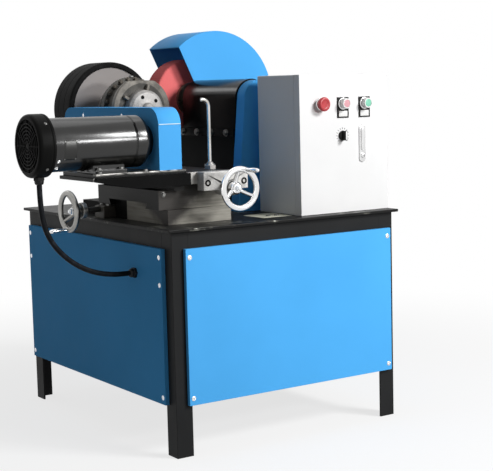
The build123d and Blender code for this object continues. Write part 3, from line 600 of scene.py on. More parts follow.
def makeCamera():
    a, e, r = (math.radians(view[key]) for key in ("azimuth", "tilt", "roll"))
    back = np.array([math.sin(a) * math.cos(e), -math.cos(a) * math.cos(e), math.sin(e)])
    right = np.array([math.cos(a), math.sin(a), 0.0])
    up = np.cross(back, right)
    rolledRight = math.cos(r) * right + math.sin(r) * up
    rolledUp = -math.sin(r) * right + math.cos(r) * up
    camera = bpy.data.objects.new("camera", bpy.data.cameras.new("camera"))
    camera.data.sensor_width = view["sensor"]
    camera.data.lens = view["focalPixels"] / view["imageWidth"] * view["sensor"]
    matrix = np.eye(4)
    matrix[:3, 0], matrix[:3, 1], matrix[:3, 2] = rolledRight, rolledUp, back
    matrix[:3, 3] = fromCorner(*view["place"]) * mm
    camera.matrix_world = Matrix(matrix)
    bpy.context.scene.collection.objects.link(camera)
    bpy.context.scene.camera = camera


makeCamera()

# Motor cable, along its route from the gland under the cowl into the stand's left panel

cable = {"radius": 7.0, "sides": 16}
cable["route"] = [
    (-293.0, 152.0, 735.0),
    (-293.0, 152.0, 670.0),
    (-275.0, 157.0, 601.0),
    (-228.0, 164.0, 543.0),
    (-160.0, 172.0, 499.0),
    (-84.0, 178.0, 479.0),
    (-5.0, 178.0, 479.0),
    (90.0, 178.0, 479.0),
]


def splinePoints(points):
    # the route's own smooth spline, read back as points
    curve = bpy.data.curves.new("cableRoute", "CURVE")
    curve.dimensions = "3D"
    curve.resolution_u = 24
    spline = curve.splines.new("NURBS")
    spline.points.add(len(points) - 1)
    spline.points.foreach_set("co", np.hstack([points, np.ones((len(points), 1))]).ravel())
    spline.order_u = 3
    spline.use_endpoint_u = True
    holder = bpy.data.objects.new("cableRoute", curve)
    line = bpy.data.meshes.new_from_object(holder)
    path = np.zeros(len(line.vertices) * 3)
    line.vertices.foreach_get("co", path)
    bpy.data.objects.remove(holder)
    return path.reshape(-1, 3)


def makeCable():
    route = np.array([fromCorner(*spot) for spot in cable["route"]]) * mm
    path = splinePoints(route)
    shape = tube(path / mm, cable["radius"], cable["sides"])
    thing = piece("motorCable", shape, None, cableJacket, ["motor_cable"])
    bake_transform(thing)


makeCable()

# Stand: screws that hold the panels

standScrews = {"radius": 6.5, "height": 2.0, "side": 12.0, "top": 23.0, "bottom": 19.0, "second": 96.0}


def panelScrews(side, facing, across):
    # the two long sides have one screw more at each end
    bottom, top = low(side + "_panel"), high(side + "_panel")
    heights = (bottom[2] + standScrews["bottom"], top[2] - standScrews["second"], top[2] - standScrews["top"])
    rows = heights if across == 1 else heights[::2]
    ends = (bottom[across] + standScrews["side"], top[across] - standScrews["side"])
    spots = np.array([(end, end, height) for end in ends for height in rows])
    spots[:, 1 - across] = (top if sum(facing[2]) > 0 else bottom)[1 - across]
    head = crossScrew(standScrews["radius"], standScrews["height"])
    piece(side + "PanelScrews", heads(head, spots, facing), "base", zincScrew)


panelScrews("front", faceFront, 0)
panelScrews("back", faceBack, 0)
panelScrews("left", faceLeft, 1)
panelScrews("right", faceRight, 1)
print("stand: done")

# Controls on the cabinet door, all measured on its front

control = {"stopRim": 20.0, "stopDepth": 14.0, "stem": 8.0, "head": 14.5, "headDepth": 12.0, "lens": 10.8}
control.update(labelWidth=30.0, labelHeight=16.0, labelDrop=28.5, collar=17.0, collarDepth=5.0)
doorFront = low("cabinet_door")[1]


def frontOf(node):  # the middle of a control's front end
    return np.array([mid(node)[0], low(node)[1], mid(node)[2]])


def onDoor(node):  # the same place on the door's own front
    return np.array([mid(node)[0], doorFront, mid(node)[2]])


def stopButton():
    rim, deep, stem = control["stopRim"], control["stopDepth"], control["stem"]
    end = low("emergency_stop")[1] - doorFront
    profile = [(0, -1.2), (0.55 * rim, -1.2), (0.62 * rim, 0), (0.84 * rim, -0.4), (rim, -0.3 * deep)]
    profile += [(rim, -0.62 * deep), (0.86 * rim, -0.95 * deep), (stem, -deep), (stem, end), (0, end)]
    ridge = placed(flatPlate(1.4, 0.3 * rim, 0.6, 1.0, 0.3), (0.42 * rim, 0, -1.5))
    shape = joined(lathe(profile, 1.6, 72), spun(ridge, (30, 150, 270)))
    parts = [("stopHead", shape, stopRed, "emergency_stop")]
    pieces("stop_head", frontOf("emergency_stop"), faceFront, parts)


def pushButton(node, name, body, finish):
    head, deep, lens, stem = (control[key] for key in ("head", "headDepth", "lens", "stem"))
    end = low(node)[1] - doorFront
    rim = [(lens, -1.4), (lens, 0), (0.95 * head, 0), (head, -1.6), (head, -deep), (stem, -deep), (stem, end)]
    rim = lathe(rim + [(0, end), (0, -1.4)], 0.8)
    cap = lathe([(0, -0.2), (0.6 * lens, -0.3), (0.94 * lens, -0.8), (lens, -1.5), (0, -1.6)], 0.8)
    parts = [(name + "Rim", rim, whitePlastic, node), (name + "Lens", cap, finish)]
    pieces(body, frontOf(node), faceFront, parts)


def legendLabels():
    label = flatPlate(control["labelWidth"], control["labelHeight"], 1.5, 0.8, 0.3)
    face, drop = low("legend_plates")[1], control["labelDrop"]
    spots = [(mid(node)[0], face, mid(node)[2] - drop) for node in ("off_button", "on_button")]
    piece("legendLabels", heads(label, spots, faceFront), "door", whitePlastic)


def collarRings():
    # a turned ring behind each button
    inner, outer, deep = control["stem"] + 0.4, control["collar"], control["collarDepth"]
    profile = [(inner, 0.2), (inner, deep), (0.9 * outer, deep), (outer, 0.75 * deep), (outer, 0.2)]
    spots = [onDoor(node) for node in ("emergency_stop", "off_button", "on_button")]
    rings = heads(lathe(profile, 0.5, 64, True), spots, faceFront)
    piece("collarRings", rings, "door", lockChrome, ["button_collars"])


selector = {"base": 14.0, "baseDepth": 6.5, "grip": 9.0, "gripDepth": 13.0, "sunk": 0.5}
selector.update(scaleOuter=23.0, ticks=13, tickWidth=1.3, tickLength=5.0, sweep=135)


def selectorSwitch():
    base, deep, grip, gripDepth = (selector[key] for key in ("base", "baseDepth", "grip", "gripDepth"))
    spot = onDoor("selector_switch")
    knob = lathe([(0, deep), (0.8 * base, deep), (base, 0.6 * deep), (base, 0.4), (0, 0.4)], 1.0)
    bar = placed(flatPlate(grip, 2 * base - 1, 2.5, gripDepth, 1.4), (0, 0, deep - selector["sunk"]))
    top = deep - selector["sunk"] + gripDepth - 0.2
    strip = placed(flatPlate(0.6 * grip, 1.7 * base, 1.5, 0.8, 0.3), (0, 0, top))
    parts = [("selectorKnob", joined(knob, bar), blackPlastic, "selector_switch")]
    pieces("selector", spot, faceFront, parts + [("selectorStrip", strip, whitePlastic)])
    width, length = selector["tickWidth"], selector["tickLength"]
    tick = placed(flatPlate(width, length, 0.3, 0.3, 0.1), (0, selector["scaleOuter"] - length / 2, 0))
    ticks = spun(tick, np.linspace(-selector["sweep"], selector["sweep"], selector["ticks"]))
    piece("selectorScale", placed(ticks, spot, faceFront), "door", blackPlastic)


lock = {"plateDepth": 3.4, "leverWidth": 12.5, "leverShare": 0.62, "leverDrop": 7.0, "sunk": 0.3}
lock.update(barrel=7.2, barrelDepth=6.0, barrelRise=17.0)


def doorLock():
    size = high("door_lock") - low("door_lock")
    seat = lock["plateDepth"] - lock["sunk"]
    base = flatPlate(size[0], size[2], 0.42 * size[0], lock["plateDepth"], 1.2, 10)
    length = lock["leverShare"] * size[2]
    lever = flatPlate(lock["leverWidth"], length, 5.0, size[1] - lock["plateDepth"], 2.2, 8, 6)
    lever = placed(lever, (0, 0.5 * (size[2] - length) - lock["leverDrop"], seat))
    barrel, deep, height = lock["barrel"], lock["barrelDepth"], lock["barrelRise"] - 0.5 * size[2]
    drum = lathe([(0, deep), (0.8 * barrel, deep), (barrel, 0.7 * deep), (barrel, 0), (0, 0)], 0.8, 40)
    shape = joined(base, lever, placed(drum, (0, height, seat)))
    # dark patch on the barrel: painted shade of the key slot
    key = placed(flatPlate(2.0, 7.0, 0.8, 0.5, 0.1), (0, height, seat + deep - 0.1))
    parts = [("lockHandle", shape, lockChrome, "door_lock"), ("lockKeyhole", key, deepBlackAndHoleShade)]
    pieces("door", onDoor("door_lock"), faceFront, parts)


stopButton()
pushButton("off_button", "offButton", "off_head", offPink)
pushButton("on_button", "onButton", "on_head", onGreen)
legendLabels()
collarRings()
selectorSwitch()
doorLock()
print("cabinet: done")

# Polishing wheel: dense red web with shallow flutes round its rim

polisher = {"edge": 9.0, "flutes": 90, "fluteDepth": 0.7, "bore": 20.4, "rimShare": 0.1}


def polishingWheel():
    # turned ring whose radius is r (1 - depth (1 + cos(n a)) / 2) near the rim only
    span = high("polishing_wheel") - low("polishing_wheel")
    radius, width, bore = span[0] / 2, span[1], polisher["bore"]
    profile = [(bore, 0), (radius, 0), (radius, width), (bore, width)]
    points, quads = lathe(profile, polisher["edge"], 6 * polisher["flutes"], True, 8)
    reach = np.hypot(points[:, 0], points[:, 1])
    angle = np.arctan2(points[:, 1], points[:, 0])
    flute = polisher["fluteDepth"] * (1 + np.cos(polisher["flutes"] * angle)) / 2
    share = np.clip(1 - (1 - reach / radius) / polisher["rimShare"], 0, 1)
    points[:, :2] *= (1 - flute * share / np.maximum(reach, 1e-3))[:, None]
    shape = placed((points, quads), farEnd("polishing_wheel"), faceFront)
    piece("polishingWheel", shape, "spindle", redWeb, ["polishing_wheel"])


spindleBlock = {"bolt": 8.5, "boltDepth": 7.0, "firstBolt": 38.0, "bolts": 4, "flange": 24.0}
spindleBlock.update(foot=20.0, footX=17.0, footY=30.0)


def spindleDetails():
    # hex bolts along both sides of the housing's foot, and on the foot of its pedestal
    s = spindleBlock
    head = hexHead(s["bolt"], s["boltDepth"])
    bottom, top = low("spindle_housing"), high("spindle_housing")
    height = bottom[2] + 0.5 * s["flange"]
    rows = np.linspace(bottom[1] + s["firstBolt"], top[1] - s["firstBolt"], s["bolts"])
    left = heads(head, [(bottom[0], y, height) for y in rows], faceLeft)
    right = heads(head, [(top[0], y, height) for y in rows], faceRight)
    bottom, top = low("spindle_pedestal"), high("spindle_pedestal")
    places = (bottom[0] + s["footX"], top[0] - s["footX"])
    rows = (bottom[1] + s["footY"], top[1] - s["footY"])
    feet = heads(head, crossed(places, rows, bottom[2] + s["foot"]))
    piece("spindleBolts", joined(left, right, feet), "base", dullScrew)


guardTrim = {"bolt": 6.5, "boltDepth": 5.0, "side": 16.0, "drops": (18.0, 62.0)}
guardTrim.update(spread=25.0, near=12.0, foot=8.0, footEdge=1.5, footBolt=6.0, boltSpread=13.0, boltNear=4.0)


def guardDetails():
    # hex bolts through the guard into its post, and a foot under the post with four more
    g = guardTrim
    bottom, top, middle = low("guard_post"), high("guard_post"), mid("guard_post")
    far, floor = high("wheel_guard")[1], high("top_plate")[2]
    start = (bottom[0] - g["spread"], far - g["near"], floor)
    end = (top[0] + g["spread"], top[1] + g["spread"], floor + g["foot"])
    piece("guardFoot", brick(start, end, g["footEdge"]), "base", blackFrame)
    seats = [(middle[0] + side * g["side"], top[1], top[2] - drop) for side in (-1, 1) for drop in g["drops"]]
    feet = crossed((bottom[0] - g["boltSpread"], top[0] + g["boltSpread"]),
                   (far + g["boltNear"], top[1] + g["boltSpread"]), end[2])
    bolts = heads(hexHead(g["bolt"], g["boltDepth"]), seats, faceBack)
    piece("guardBolts", joined(bolts, heads(hexHead(g["bolt"], g["footBolt"]), feet)), "base", zincScrew)


polishingWheel()
spindleDetails()
guardDetails()
print("polishing head: done")

# Guide motor: shell, cowl with its grille, plate, screws

motor = {"seam": 44.0, "groove": 2.2, "flange": 20.0, "flangeRadius": 42.0, "bolt": 6.0}
motor.update(plateWidth=36.0, plateArc=52.0, plateFromCowl=26.0, plateDrop=11.0, plateLift=1.0)
motor.update(slotWidth=5.0, slotLength=30.0, slotTurn=35.0, slotInset=39.0)
motor.update(earthTurns=(-54, -35), earthFromCowl=14.0)
motor.update(footBolts=(14.0, 7.5), footRise=9.0, plateBolts=(16.0, 118.0), plateBoltEdge=10.0)
motorLow, motorAxis, motorHigh = low("motor_body"), mid("motor_body"), high("motor_body")
motorRadius = (motorHigh - motorLow)[2] / 2


def wrapped(shape, x, turn):
    # a flat shape bent round the motor: u along x, v along the arc, w outwards; turn 0 faces the front
    u, v, w = shape[0].T
    angle = v / motorRadius + math.radians(turn)
    reach = motorRadius + w
    points = np.stack([x + u, motorAxis[1] - reach * np.cos(angle), motorAxis[2] + reach * np.sin(angle)], -1)
    return points, shape[1]


def motorShell():
    radius, groove, flange = motorRadius, motorRadius - motor["groove"], motor["flangeRadius"]
    whole = (motorHigh - motorLow)[0]
    length = whole - motor["flange"]
    seam = length - motor["seam"]
    profile = [(0, 0), (radius, 0), (radius, seam), (groove, seam + 1), (groove, seam + 3.4)]
    profile += [(radius, seam + 4.4), (radius, length - 12), (0.93 * radius, length - 2.5)]
    profile += [(0.86 * radius, length), (flange, length), (flange, whole), (0, whole)]
    parts = [("motorShell", lathe(profile, 1.5, 128), motorBlack, "motor_body")]
    pieces("table", (motorLow[0], *motorAxis[1:]), faceRight, parts)


def motorPlate():
    # blank plate that is flat and falls to zero at its edges, 1 - max(|2u|, |2v|)^24, with four rivets
    x = motorLow[0] + motor["plateFromCowl"] + motor["plateWidth"] / 2
    width, arc, turn = motor["plateWidth"], motor["plateArc"], -motor["plateDrop"]
    u, v = np.meshgrid(np.linspace(-0.5, 0.5, 13), np.linspace(-0.5, 0.5, 25), indexing="ij")
    lift = motor["plateLift"] * (1 - np.maximum(np.abs(2 * u), np.abs(2 * v)) ** 24)
    blank = gridShape(np.stack([u * width, v * arc, lift], -1))
    rivet = lathe([(0, 1.1), (1.7, 0.8), (2.2, 0), (0, 0)], 0.3, 16)
    spots = crossed((-0.42 * width, 0.42 * width), (-0.44 * arc, 0.44 * arc), 0.9)
    piece("motorPlate", wrapped(blank, x, turn), "table", darkPlate)
    piece("motorPlateRivets", wrapped(repeated(rivet, spots), x, turn), "table", dullScrew)
    # dark patch on the shell: painted shade of the slot in its end bell
    slot = flatPlate(motor["slotWidth"], motor["slotLength"], 2.2, 0.6, 0.2)
    slotX = motorHigh[0] - motor["flange"] - motor["slotInset"]
    piece("motorSlotShade", wrapped(slot, slotX, motor["slotTurn"]), "table", deepBlackAndHoleShade)
    earthX = motorLow[0] + motor["earthFromCowl"]
    screws = [wrapped(crossScrew(5.0, 4.0), earthX, turn) for turn in motor["earthTurns"]]
    piece("motorScrews", joined(*screws), "table", zincScrew)


cowl = {"dish": 5.0, "lip": 12.0, "rings": (12, 21, 30, 39, 48, 57), "ringWidth": 3.0}
cowl.update(bars=12, barHalf=1.3, screws=4, screwInset=18.0, screwTurn=225)


def fanCowl():
    span = high("fan_cowl") - low("fan_cowl")
    radius, length, dish, lip = span[2] / 2, span[0], cowl["dish"], cowl["lip"]
    profile = [(0, dish), (radius - lip - 3, dish), (radius - lip - 1.5, 0.8), (radius - lip, 0)]
    profile += [(radius - 0.5 * lip, 0.6), (radius - 1.6, 3.5), (radius, 9), (radius, length - 11)]
    profile += [(radius - 1, length - 10), (radius - 1, length - 8), (radius, length - 7), (radius, length)]
    profile += [(0, length)]
    half, side = 0.5 * cowl["ringWidth"], cowl["barHalf"]
    sections = [[(r - half, 1), (r + half, 1), (r + half, dish), (r - half, dish)] for r in cowl["rings"]]
    bands = [lathe(section, 0.7, 72, True) for section in sections]
    bar = brick((cowl["rings"][0], -side, 1.6), (radius - lip - 2, side, dish), 0.6)
    boss = lathe([(0, 1.6), (8, 2), (10, dish), (0, dish)], 1, 40)
    grille = joined(*bands, spun(bar, around(cowl["bars"])), boss)
    # dark disc on the cowl's end face behind the grille: painted shade of its inside
    floor = turned([(0, dish - 0.4), (radius - lip - 3.4, dish - 0.4), (0, dish + 0.4)], 64)
    screw = placed(crossScrew(4.0, 2.4), (radius - 0.2, 0, length - cowl["screwInset"]), faceRight)
    screws = spun(screw, around(cowl["screws"]) + cowl["screwTurn"])
    parts = [("cowlShell", lathe(profile, 1.8, 128), cowlBlack, "fan_cowl")]
    parts += [("cowlGrille", grille, cowlBlack), ("cowlDepth", floor, deepBlackAndHoleShade)]
    parts += [("cowlScrews", screws, dullScrew)]
    pieces("table", (low("fan_cowl")[0], *motorAxis[1:]), faceRight, parts)


def motorBolts():
    bottom, top = low("motor_foot"), high("motor_foot")
    plateLow, plateHigh = low("motor_plate"), high("motor_plate")
    (x, y), (left, right), edge = motor["footBolts"], motor["plateBolts"], motor["plateBoltEdge"]
    height = plateHigh[2] + motor["footRise"]
    spots = crossed((bottom[0] + x, top[0] - x), (bottom[1] + y, top[1] - y), height)
    rows = (plateLow[1] + edge, plateHigh[1] - edge)
    spots += crossed((plateLow[0] + left, plateHigh[0] - right), rows, plateHigh[2])
    piece("motorBolts", heads(hexHead(motor["bolt"], motor["bolt"]), spots), "table", dullScrew)


darkPlate = plated("darkPlate", "black_motor", (0.045, 0.045, 0.044), 0.34)
motorShell()
motorPlate()
fanCowl()
motorBolts()
print("motor: done")

# Belt cover: a bead along the seam where its bent top meets the end, pale as a painted highlight of the bend,
# and screws along its sides

coverTrim = {"seamDrop": 44.0, "seamRadius": 1.4, "screw": 5.0, "screwDepth": 2.6}
coverTrim.update(upper=(434.0, 200.0), upperDrop=22.0, lower=(470.0, 240.0), lowerRise=30.0)


def coverDetails():
    c = coverTrim
    bottom, top, middle = low("guide_belt_cover"), high("guide_belt_cover"), mid("guide_belt_cover")
    seam = [(x, bottom[1] - 0.2, top[2] - c["seamDrop"]) for x in (bottom[0] + 1, middle[0], top[0] - 1)]
    piece("coverSeamHighlight", tube(seam, c["seamRadius"], 12, (0, 0, 1)), "table", seamHighlight)
    rows = [(bottom[1] + along, top[2] - c["upperDrop"]) for along in c["upper"]]
    rows += [(bottom[1] + along, bottom[2] + c["lowerRise"]) for along in c["lower"]]
    head = crossScrew(c["screw"], c["screwDepth"])
    sides = [heads(head, [(x, *row) for row in rows], facing)
             for x, facing in ((bottom[0], faceLeft), (top[0], faceRight))]
    piece("coverScrews", joined(*sides), "table", zincScrew)


# pale blue: painted highlight along the cover's bend
seamHighlight = plastic("seamHighlight", "blue_cover", (0.62, 0.80, 0.92), 0.35)
coverDetails()
print("belt cover: done")

# Gearbox: flat topped ring, hub with screw holes shown as dark discs of painted shade, a dark disc of painted
# shade in the ring's recess, studs round the case's flange

gear = {"ring": 94.0, "flat": 83.0, "flatShare": 0.85, "ringDepth": 16.0, "boltCircle": 38.0}
gear.update(boltTurns=(40, 112, 184, 256, 328), ribTurn=36, hole=5.6, bolt=7.0, boltDepth=6.0)
gear.update(studs=22, studCircle=89.0, stud=5.6, studDepth=8.0, flangeStart=44.0)
gear.update(rib=(20, 9, 3, 14, 2), ribSpot=(64, 0, 15), boltSides=(16.0, 40.0), boltEdge=9.0, boltRise=14.0)
gear["plug"] = [(0, 5), (7, 5), (9, 0), (0, 0)]  # radius, height
gear["recess"] = [(0, 15.4), (70, 15.4), (72, 16.6), (76, 16.8), (0, 16.9)]
gear["hub"] = [(0, 58), (14, 58), (18, 55), (19, 49), (30, 47), (48, 46), (56, 40), (58, 14), (0, 14)]


def gearFlange():
    # ring whose top is pressed flat above a height, y - share (y - flat), with ribs to its hub
    angle = np.linspace(0, 2 * np.pi, 240, endpoint=False)
    outline = np.stack([np.cos(angle), np.sin(angle)], -1) * gear["ring"]
    outline[:, 1] -= np.maximum(outline[:, 1] - gear["flat"], 0) * gear["flatShare"]
    ring = slab(outline, gear["ringDepth"], 3.0)
    turns = np.array(gear["boltTurns"])
    ribs = spun(placed(flatPlate(*gear["rib"]), gear["ribSpot"]), turns + gear["ribTurn"])
    # dark discs on the hub: painted shade of its screw holes
    hole = turned([(0, 46.9), (gear["hole"], 46.9), (gear["hole"], 44), (0, 44)], 24)
    holes = spun(placed(hole, (gear["boltCircle"], 0, 0)), turns)
    stud = placed(hexHead(gear["stud"], gear["studDepth"]), (gear["studCircle"], 0, -gear["flangeStart"]))
    parts = [("gearFlange", joined(ring, ribs), castRing, "gearbox_cover")]
    parts += [("gearHub", lathe(gear["hub"], 2.0, 96), castCover)]
    # dark disc laid on the ring: painted shade of the recess between ring and hub
    parts += [("gearRecess", turned(gear["recess"], 96), darkCastAndShade)]
    parts += [("gearHoles", holes, deepBlackAndHoleShade), ("gearStuds", spun(stud, around(gear["studs"])), rustBrown)]
    pieces("table", farEnd("gearbox_cover"), faceFront, parts)


def gearBolts():
    bottom, top, middle = low("gearbox"), high("gearbox"), mid("gearbox_cover")[0]
    (left, right), edge = gear["boltSides"], gear["boltEdge"]
    rows = (bottom[1] + edge, top[1] - edge)
    spots = crossed((bottom[0] + left, middle + right), rows, bottom[2] + gear["boltRise"])
    plug = placed(lathe(gear["plug"], 1, 6), (middle, mid("gearbox")[1], top[2] - 0.3))
    bolts = heads(hexHead(gear["bolt"], gear["boltDepth"]), spots)
    piece("gearBolts", joined(bolts, plug), "table", dullScrew)


gearFlange()
gearBolts()
print("gearbox: done")

# Guide wheel: rubber tyre with grooves, and a bolted cap on its far side

guide = {"bead": 6.0, "groove": 0.8, "grooves": (0.345, 0.655), "grooveHalf": 0.015}
guide.update(recess=5.0, cap=46.0, capDepth=9.0, bolts=6, bolt=6.5, boltDepth=5.0, boltCircle=34.0)


def guideWheel():
    span = high("guide_tyre") - low("guide_tyre")
    disc = high("guide_disc") - low("guide_disc")
    radius, width, inner, bead, cut = span[0] / 2, span[1], disc[0] / 2 + 0.2, guide["bead"], guide["groove"]
    middle = (radius + inner) / 2
    profile = [(inner, 0), (middle - 2, 0), (middle, cut), (middle + 2, 0), (radius - 2, 0.4), (radius, bead)]
    for share in guide["grooves"]:
        start, end = (share - guide["grooveHalf"]) * width, (share + guide["grooveHalf"]) * width
        profile += [(radius, start), (radius - cut, share * width), (radius, end)]
    profile += [(radius, width - bead), (radius - 2, width), (inner, width)]
    spot = farEnd("guide_tyre")
    tyre = lathe(profile, 3.0, 160, True)
    pieces("guide_wheel", spot, faceFront, [("guideTyre", tyre, tyreRubber, "guide_tyre")])
    edge, deep = guide["cap"], guide["capDepth"]
    cap = lathe([(0, deep), (edge - 2, deep), (edge, deep - 3), (edge, 0), (0, 0)], 2)
    far = spot - (0, guide["recess"], 0)
    head = placed(hexHead(guide["bolt"], guide["boltDepth"]), (guide["boltCircle"], 0, deep))
    bolts = spun(head, around(guide["bolts"]))
    pieces("guide_wheel", far, faceBack, [("guideCap", cap, discPaint), ("guideBolts", bolts, zincScrew)])


guideWheel()
print("guide wheel: done")

# Handwheels: rim, three spokes, hub with its nut, dial with its marks, and a slim crank grip

handwheel = {"radius": 60.0, "rim": 8.0, "squeeze": 0.92, "hub": 17.0, "hubLength": 26.0, "dish": 10.0}
handwheel.update(spokes=3, spokeStart=8.0, spokeSink=24.0, spokeBend=1.6, spokeRadius=8.5, spokeTaper=2.2)
handwheel.update(spokeFlat=0.72, grip=58.0, gripRadius=6.6, neck=4.2, ticks=36)
handwheel["washer"] = [(0, 1.6), (10.5, 1.6), (10.5, -0.2), (0, -0.2)]  # radius, height
handwheel["nut"] = [(0, 8), (7.2, 8), (8.2, 7), (8.2, 0), (0, 0)]
handwheel["shaftEnd"] = [(0, 11), (4.2, 11), (5, 10), (5, 0), (0, 0)]
wheelMiddle = handwheel["radius"] - handwheel["rim"]
hubBack = -handwheel["dish"] - handwheel["hubLength"]


def handwheelShape(spokeTurn):
    # rim: torus whose section is squeezed a little towards the front; spokes sink by (1 - t^bend) to the hub
    rim, hub, front = handwheel["rim"], handwheel["hub"], -handwheel["dish"]
    across = np.linspace(0, 2 * np.pi, 20, endpoint=False)
    section = np.stack([wheelMiddle + rim * np.cos(across), rim * np.sin(across) * handwheel["squeeze"]], -1)
    profile = [(0, front), (0.66 * hub, front), (0.8 * hub, front - 2), (hub, front - 7)]
    profile += [(hub, hubBack), (0, hubBack)]
    t = np.linspace(0, 1, 14)
    start, sink = handwheel["spokeStart"], handwheel["spokeSink"]
    path = np.stack([start + t * (wheelMiddle - start), 0 * t, sink * (t ** handwheel["spokeBend"] - 1)], -1)
    radii = handwheel["spokeRadius"] - handwheel["spokeTaper"] * t
    spoke = tube(path, radii, 18, (0, 1, 0), handwheel["spokeFlat"])
    spokes = spun(spoke, spokeTurn + around(handwheel["spokes"]))
    return joined(turned(section, 96, ring=True), lathe(profile, 1.5, 48), spokes)


def hubParts():
    washer, nut = turned(handwheel["washer"], 32), turned(handwheel["nut"], 6)
    end = lathe(handwheel["shaftEnd"], 0.5, 24)
    return placed(joined(washer, nut, end), (0, 0, -handwheel["dish"]))


def gripShape(turn):
    # turned handle: a neck, a slow swell and a rounded end
    rim, swell, neck = handwheel["rim"], handwheel["gripRadius"], handwheel["neck"]
    start, end = 0.6 * rim, rim + handwheel["grip"]
    profile = [(0, start), (neck, start), (neck, rim + 3), (0.86 * swell, rim + 5), (0.82 * swell, rim + 14)]
    profile += [(swell, rim + 34), (0.9 * swell, end - 7), (0.6 * swell, end - 1), (0, end)]
    return spun(placed(lathe(profile, 3, 32), (wheelMiddle, 0, 0)), [turn])


def dialParts(radius, length):
    # sleeve over the dial, and tick marks round it
    reach, end = radius + 0.4, hubBack - length
    sleeve = lathe([(0, hubBack - 0.2), (reach, hubBack - 0.2), (reach, end), (0, end)], 0.8)
    tick = flatPlate(0.9, 0.5 * length, 0.3, 0.4, 0.1, 2, 2)
    tick = placed(tick, (reach - 0.15, 0, hubBack - 0.32 * length), faceRight)
    return sleeve, spun(tick, around(handwheel["ticks"]))


def makeHandwheel(name, facing, origin, spokeTurn, gripTurn, finish, dial):
    sleeve, ticks = dialParts(*dial)
    parts = [(name + "Handwheel", handwheelShape(spokeTurn), finish, name + "_handwheel")]
    parts += [(name + "HubNut", hubParts(), zincScrew)]
    parts += [(name + "Grip", gripShape(gripTurn), brightPlate, name + "_grip")]
    parts += [(name + "Dial", sleeve, dialSteel), (name + "DialTicks", ticks, deepBlackAndHoleShade)]
    pieces(name + "_wheel", origin, facing, parts)


feedMiddle, crossMiddle = mid("feed_handwheel"), mid("cross_handwheel")
feedOrigin = (low("feed_handwheel")[0] + handwheel["rim"], feedMiddle[1], feedMiddle[2])
crossOrigin = (crossMiddle[0], low("cross_handwheel")[1] + handwheel["rim"], crossMiddle[2])
# the feed wheel takes the darker plating as painted shade
makeHandwheel("feed", faceLeft, feedOrigin, 100, -80, shadedWheelPlate, (22.0, 14.0))
makeHandwheel("cross", faceFront, crossOrigin, -28, 73, brightPlate, (19.0, 27.0))
print("handwheels: done")

# Slides: gib screws, cap screws in both brackets, nut under the bent rod, sheet on the top plate

slides = {"gib": 5.5, "gibDepth": 4.5, "gibs": 5, "gibEnd": 45.0, "gibRise": 26.0}
slides.update(stopSide=14.0, stopDrop=24.0, stopDepth=5.0)
slides.update(cap=9.0, capDepth=7.0, capSunk=5.5, capSide=13.0, capDrop=29.0, feedCap=6.0, feedCapEnd=9.0)


def slideBolts():
    s = slides
    bottom, top = low("saddle"), high("saddle")
    gib = joined(hexHead(s["gib"], s["gibDepth"]), turned([(0, 11), (2.6, 11), (3, 4), (0, 4)], 12))
    rows = np.linspace(bottom[1] + s["gibEnd"], top[1] - s["gibEnd"], s["gibs"])
    spots = [(top[0], y, bottom[2] + s["gibRise"]) for y in rows]
    piece("gibScrews", heads(gib, spots, faceRight), "saddle", zincScrew)
    spot = (bottom[0] + s["stopSide"], bottom[1], top[2] - s["stopDrop"])
    piece("saddleStop", placed(hexHead(s["gib"], s["stopDepth"]), spot, faceFront), "saddle", dullScrew)
    bottom, top = low("cross_bracket"), high("cross_bracket")
    seats = [(x, bottom[1] + s["capSunk"], top[2] - s["capDrop"])
             for x in (bottom[0] + s["capSide"], top[0] - s["capSide"])]
    piece("bracketScrews", heads(socketHead(s["cap"], s["capDepth"]), seats, faceFront), "table", deepBlackAndHoleShade)
    bottom, top, middle = low("feed_bracket"), high("feed_bracket"), mid("feed_bracket")
    seats = crossed((middle[0],), (bottom[1] + s["feedCapEnd"], top[1] - s["feedCapEnd"]), top[2] - 1)
    piece("feedBracketScrews", heads(socketHead(s["feedCap"], s["feedCap"]), seats), "base", dullScrew)


rest = {"side": 14.0, "nut": [(0, 11), (15, 11), (17, 9.5), (17, 0), (0, 0)]}  # radius, height
rest["ring"] = [(0, 20), (8, 19), (10, 13), (10, 10), (0, 10)]


def restNut():
    spot = (high("pipe_rest")[0] - rest["side"], mid("pipe_rest")[1], low("pipe_rest")[2])
    shape = joined(turned(rest["nut"], 6), lathe(rest["ring"], 1, 32))
    piece("restNut", placed(shape, spot), "table", castCover)


sheet = {"start": (332.0, 62.0, 608.0), "end": (432.0, 164.0, 608.5), "edge": 0.2, "radius": 4.0}
sheet.update(screw=6.5, screwDepth=3.5, screws=((371.0, 95.0, 608.3), (399.0, 94.0, 608.3)))


def plateSheet():
    # thin pale sheet that lies on the top plate beside the cabinet, and the two screws through it
    shape = brick(fromCorner(*sheet["start"]), fromCorner(*sheet["end"]), sheet["edge"], sheet["radius"])
    piece("plateSheet", shape, "base", paleSheet)
    spots = [fromCorner(*spot) for spot in sheet["screws"]]
    piece("sheetScrews", heads(socketHead(sheet["screw"], sheet["screwDepth"]), spots), "base", dullScrew)


slideBolts()
restNut()
plateSheet()
print("slides: done")

# Cable glands: nut and dome, at both ends of the cable

gland = {"nut": 15.0, "dome": 12.0, "bore": 7.2}


def glandShape(length):
    # local z runs out of the wall along the cable
    bore, dome, nut = gland["bore"], gland["dome"], gland["nut"]
    base = [(bore, 0), (bore, 0.45 * length), (0.9 * nut, 0.45 * length), (nut, 0.38 * length), (nut, 0)]
    cap = [(bore, 0.4 * length), (dome, 0.4 * length), (dome, 0.72 * length), (0.84 * dome, 0.94 * length)]
    cap += [(bore + 0.4, length), (bore, 0.9 * length)]
    return joined(turned(base, 6), lathe(cap, 1.2, 40, True))


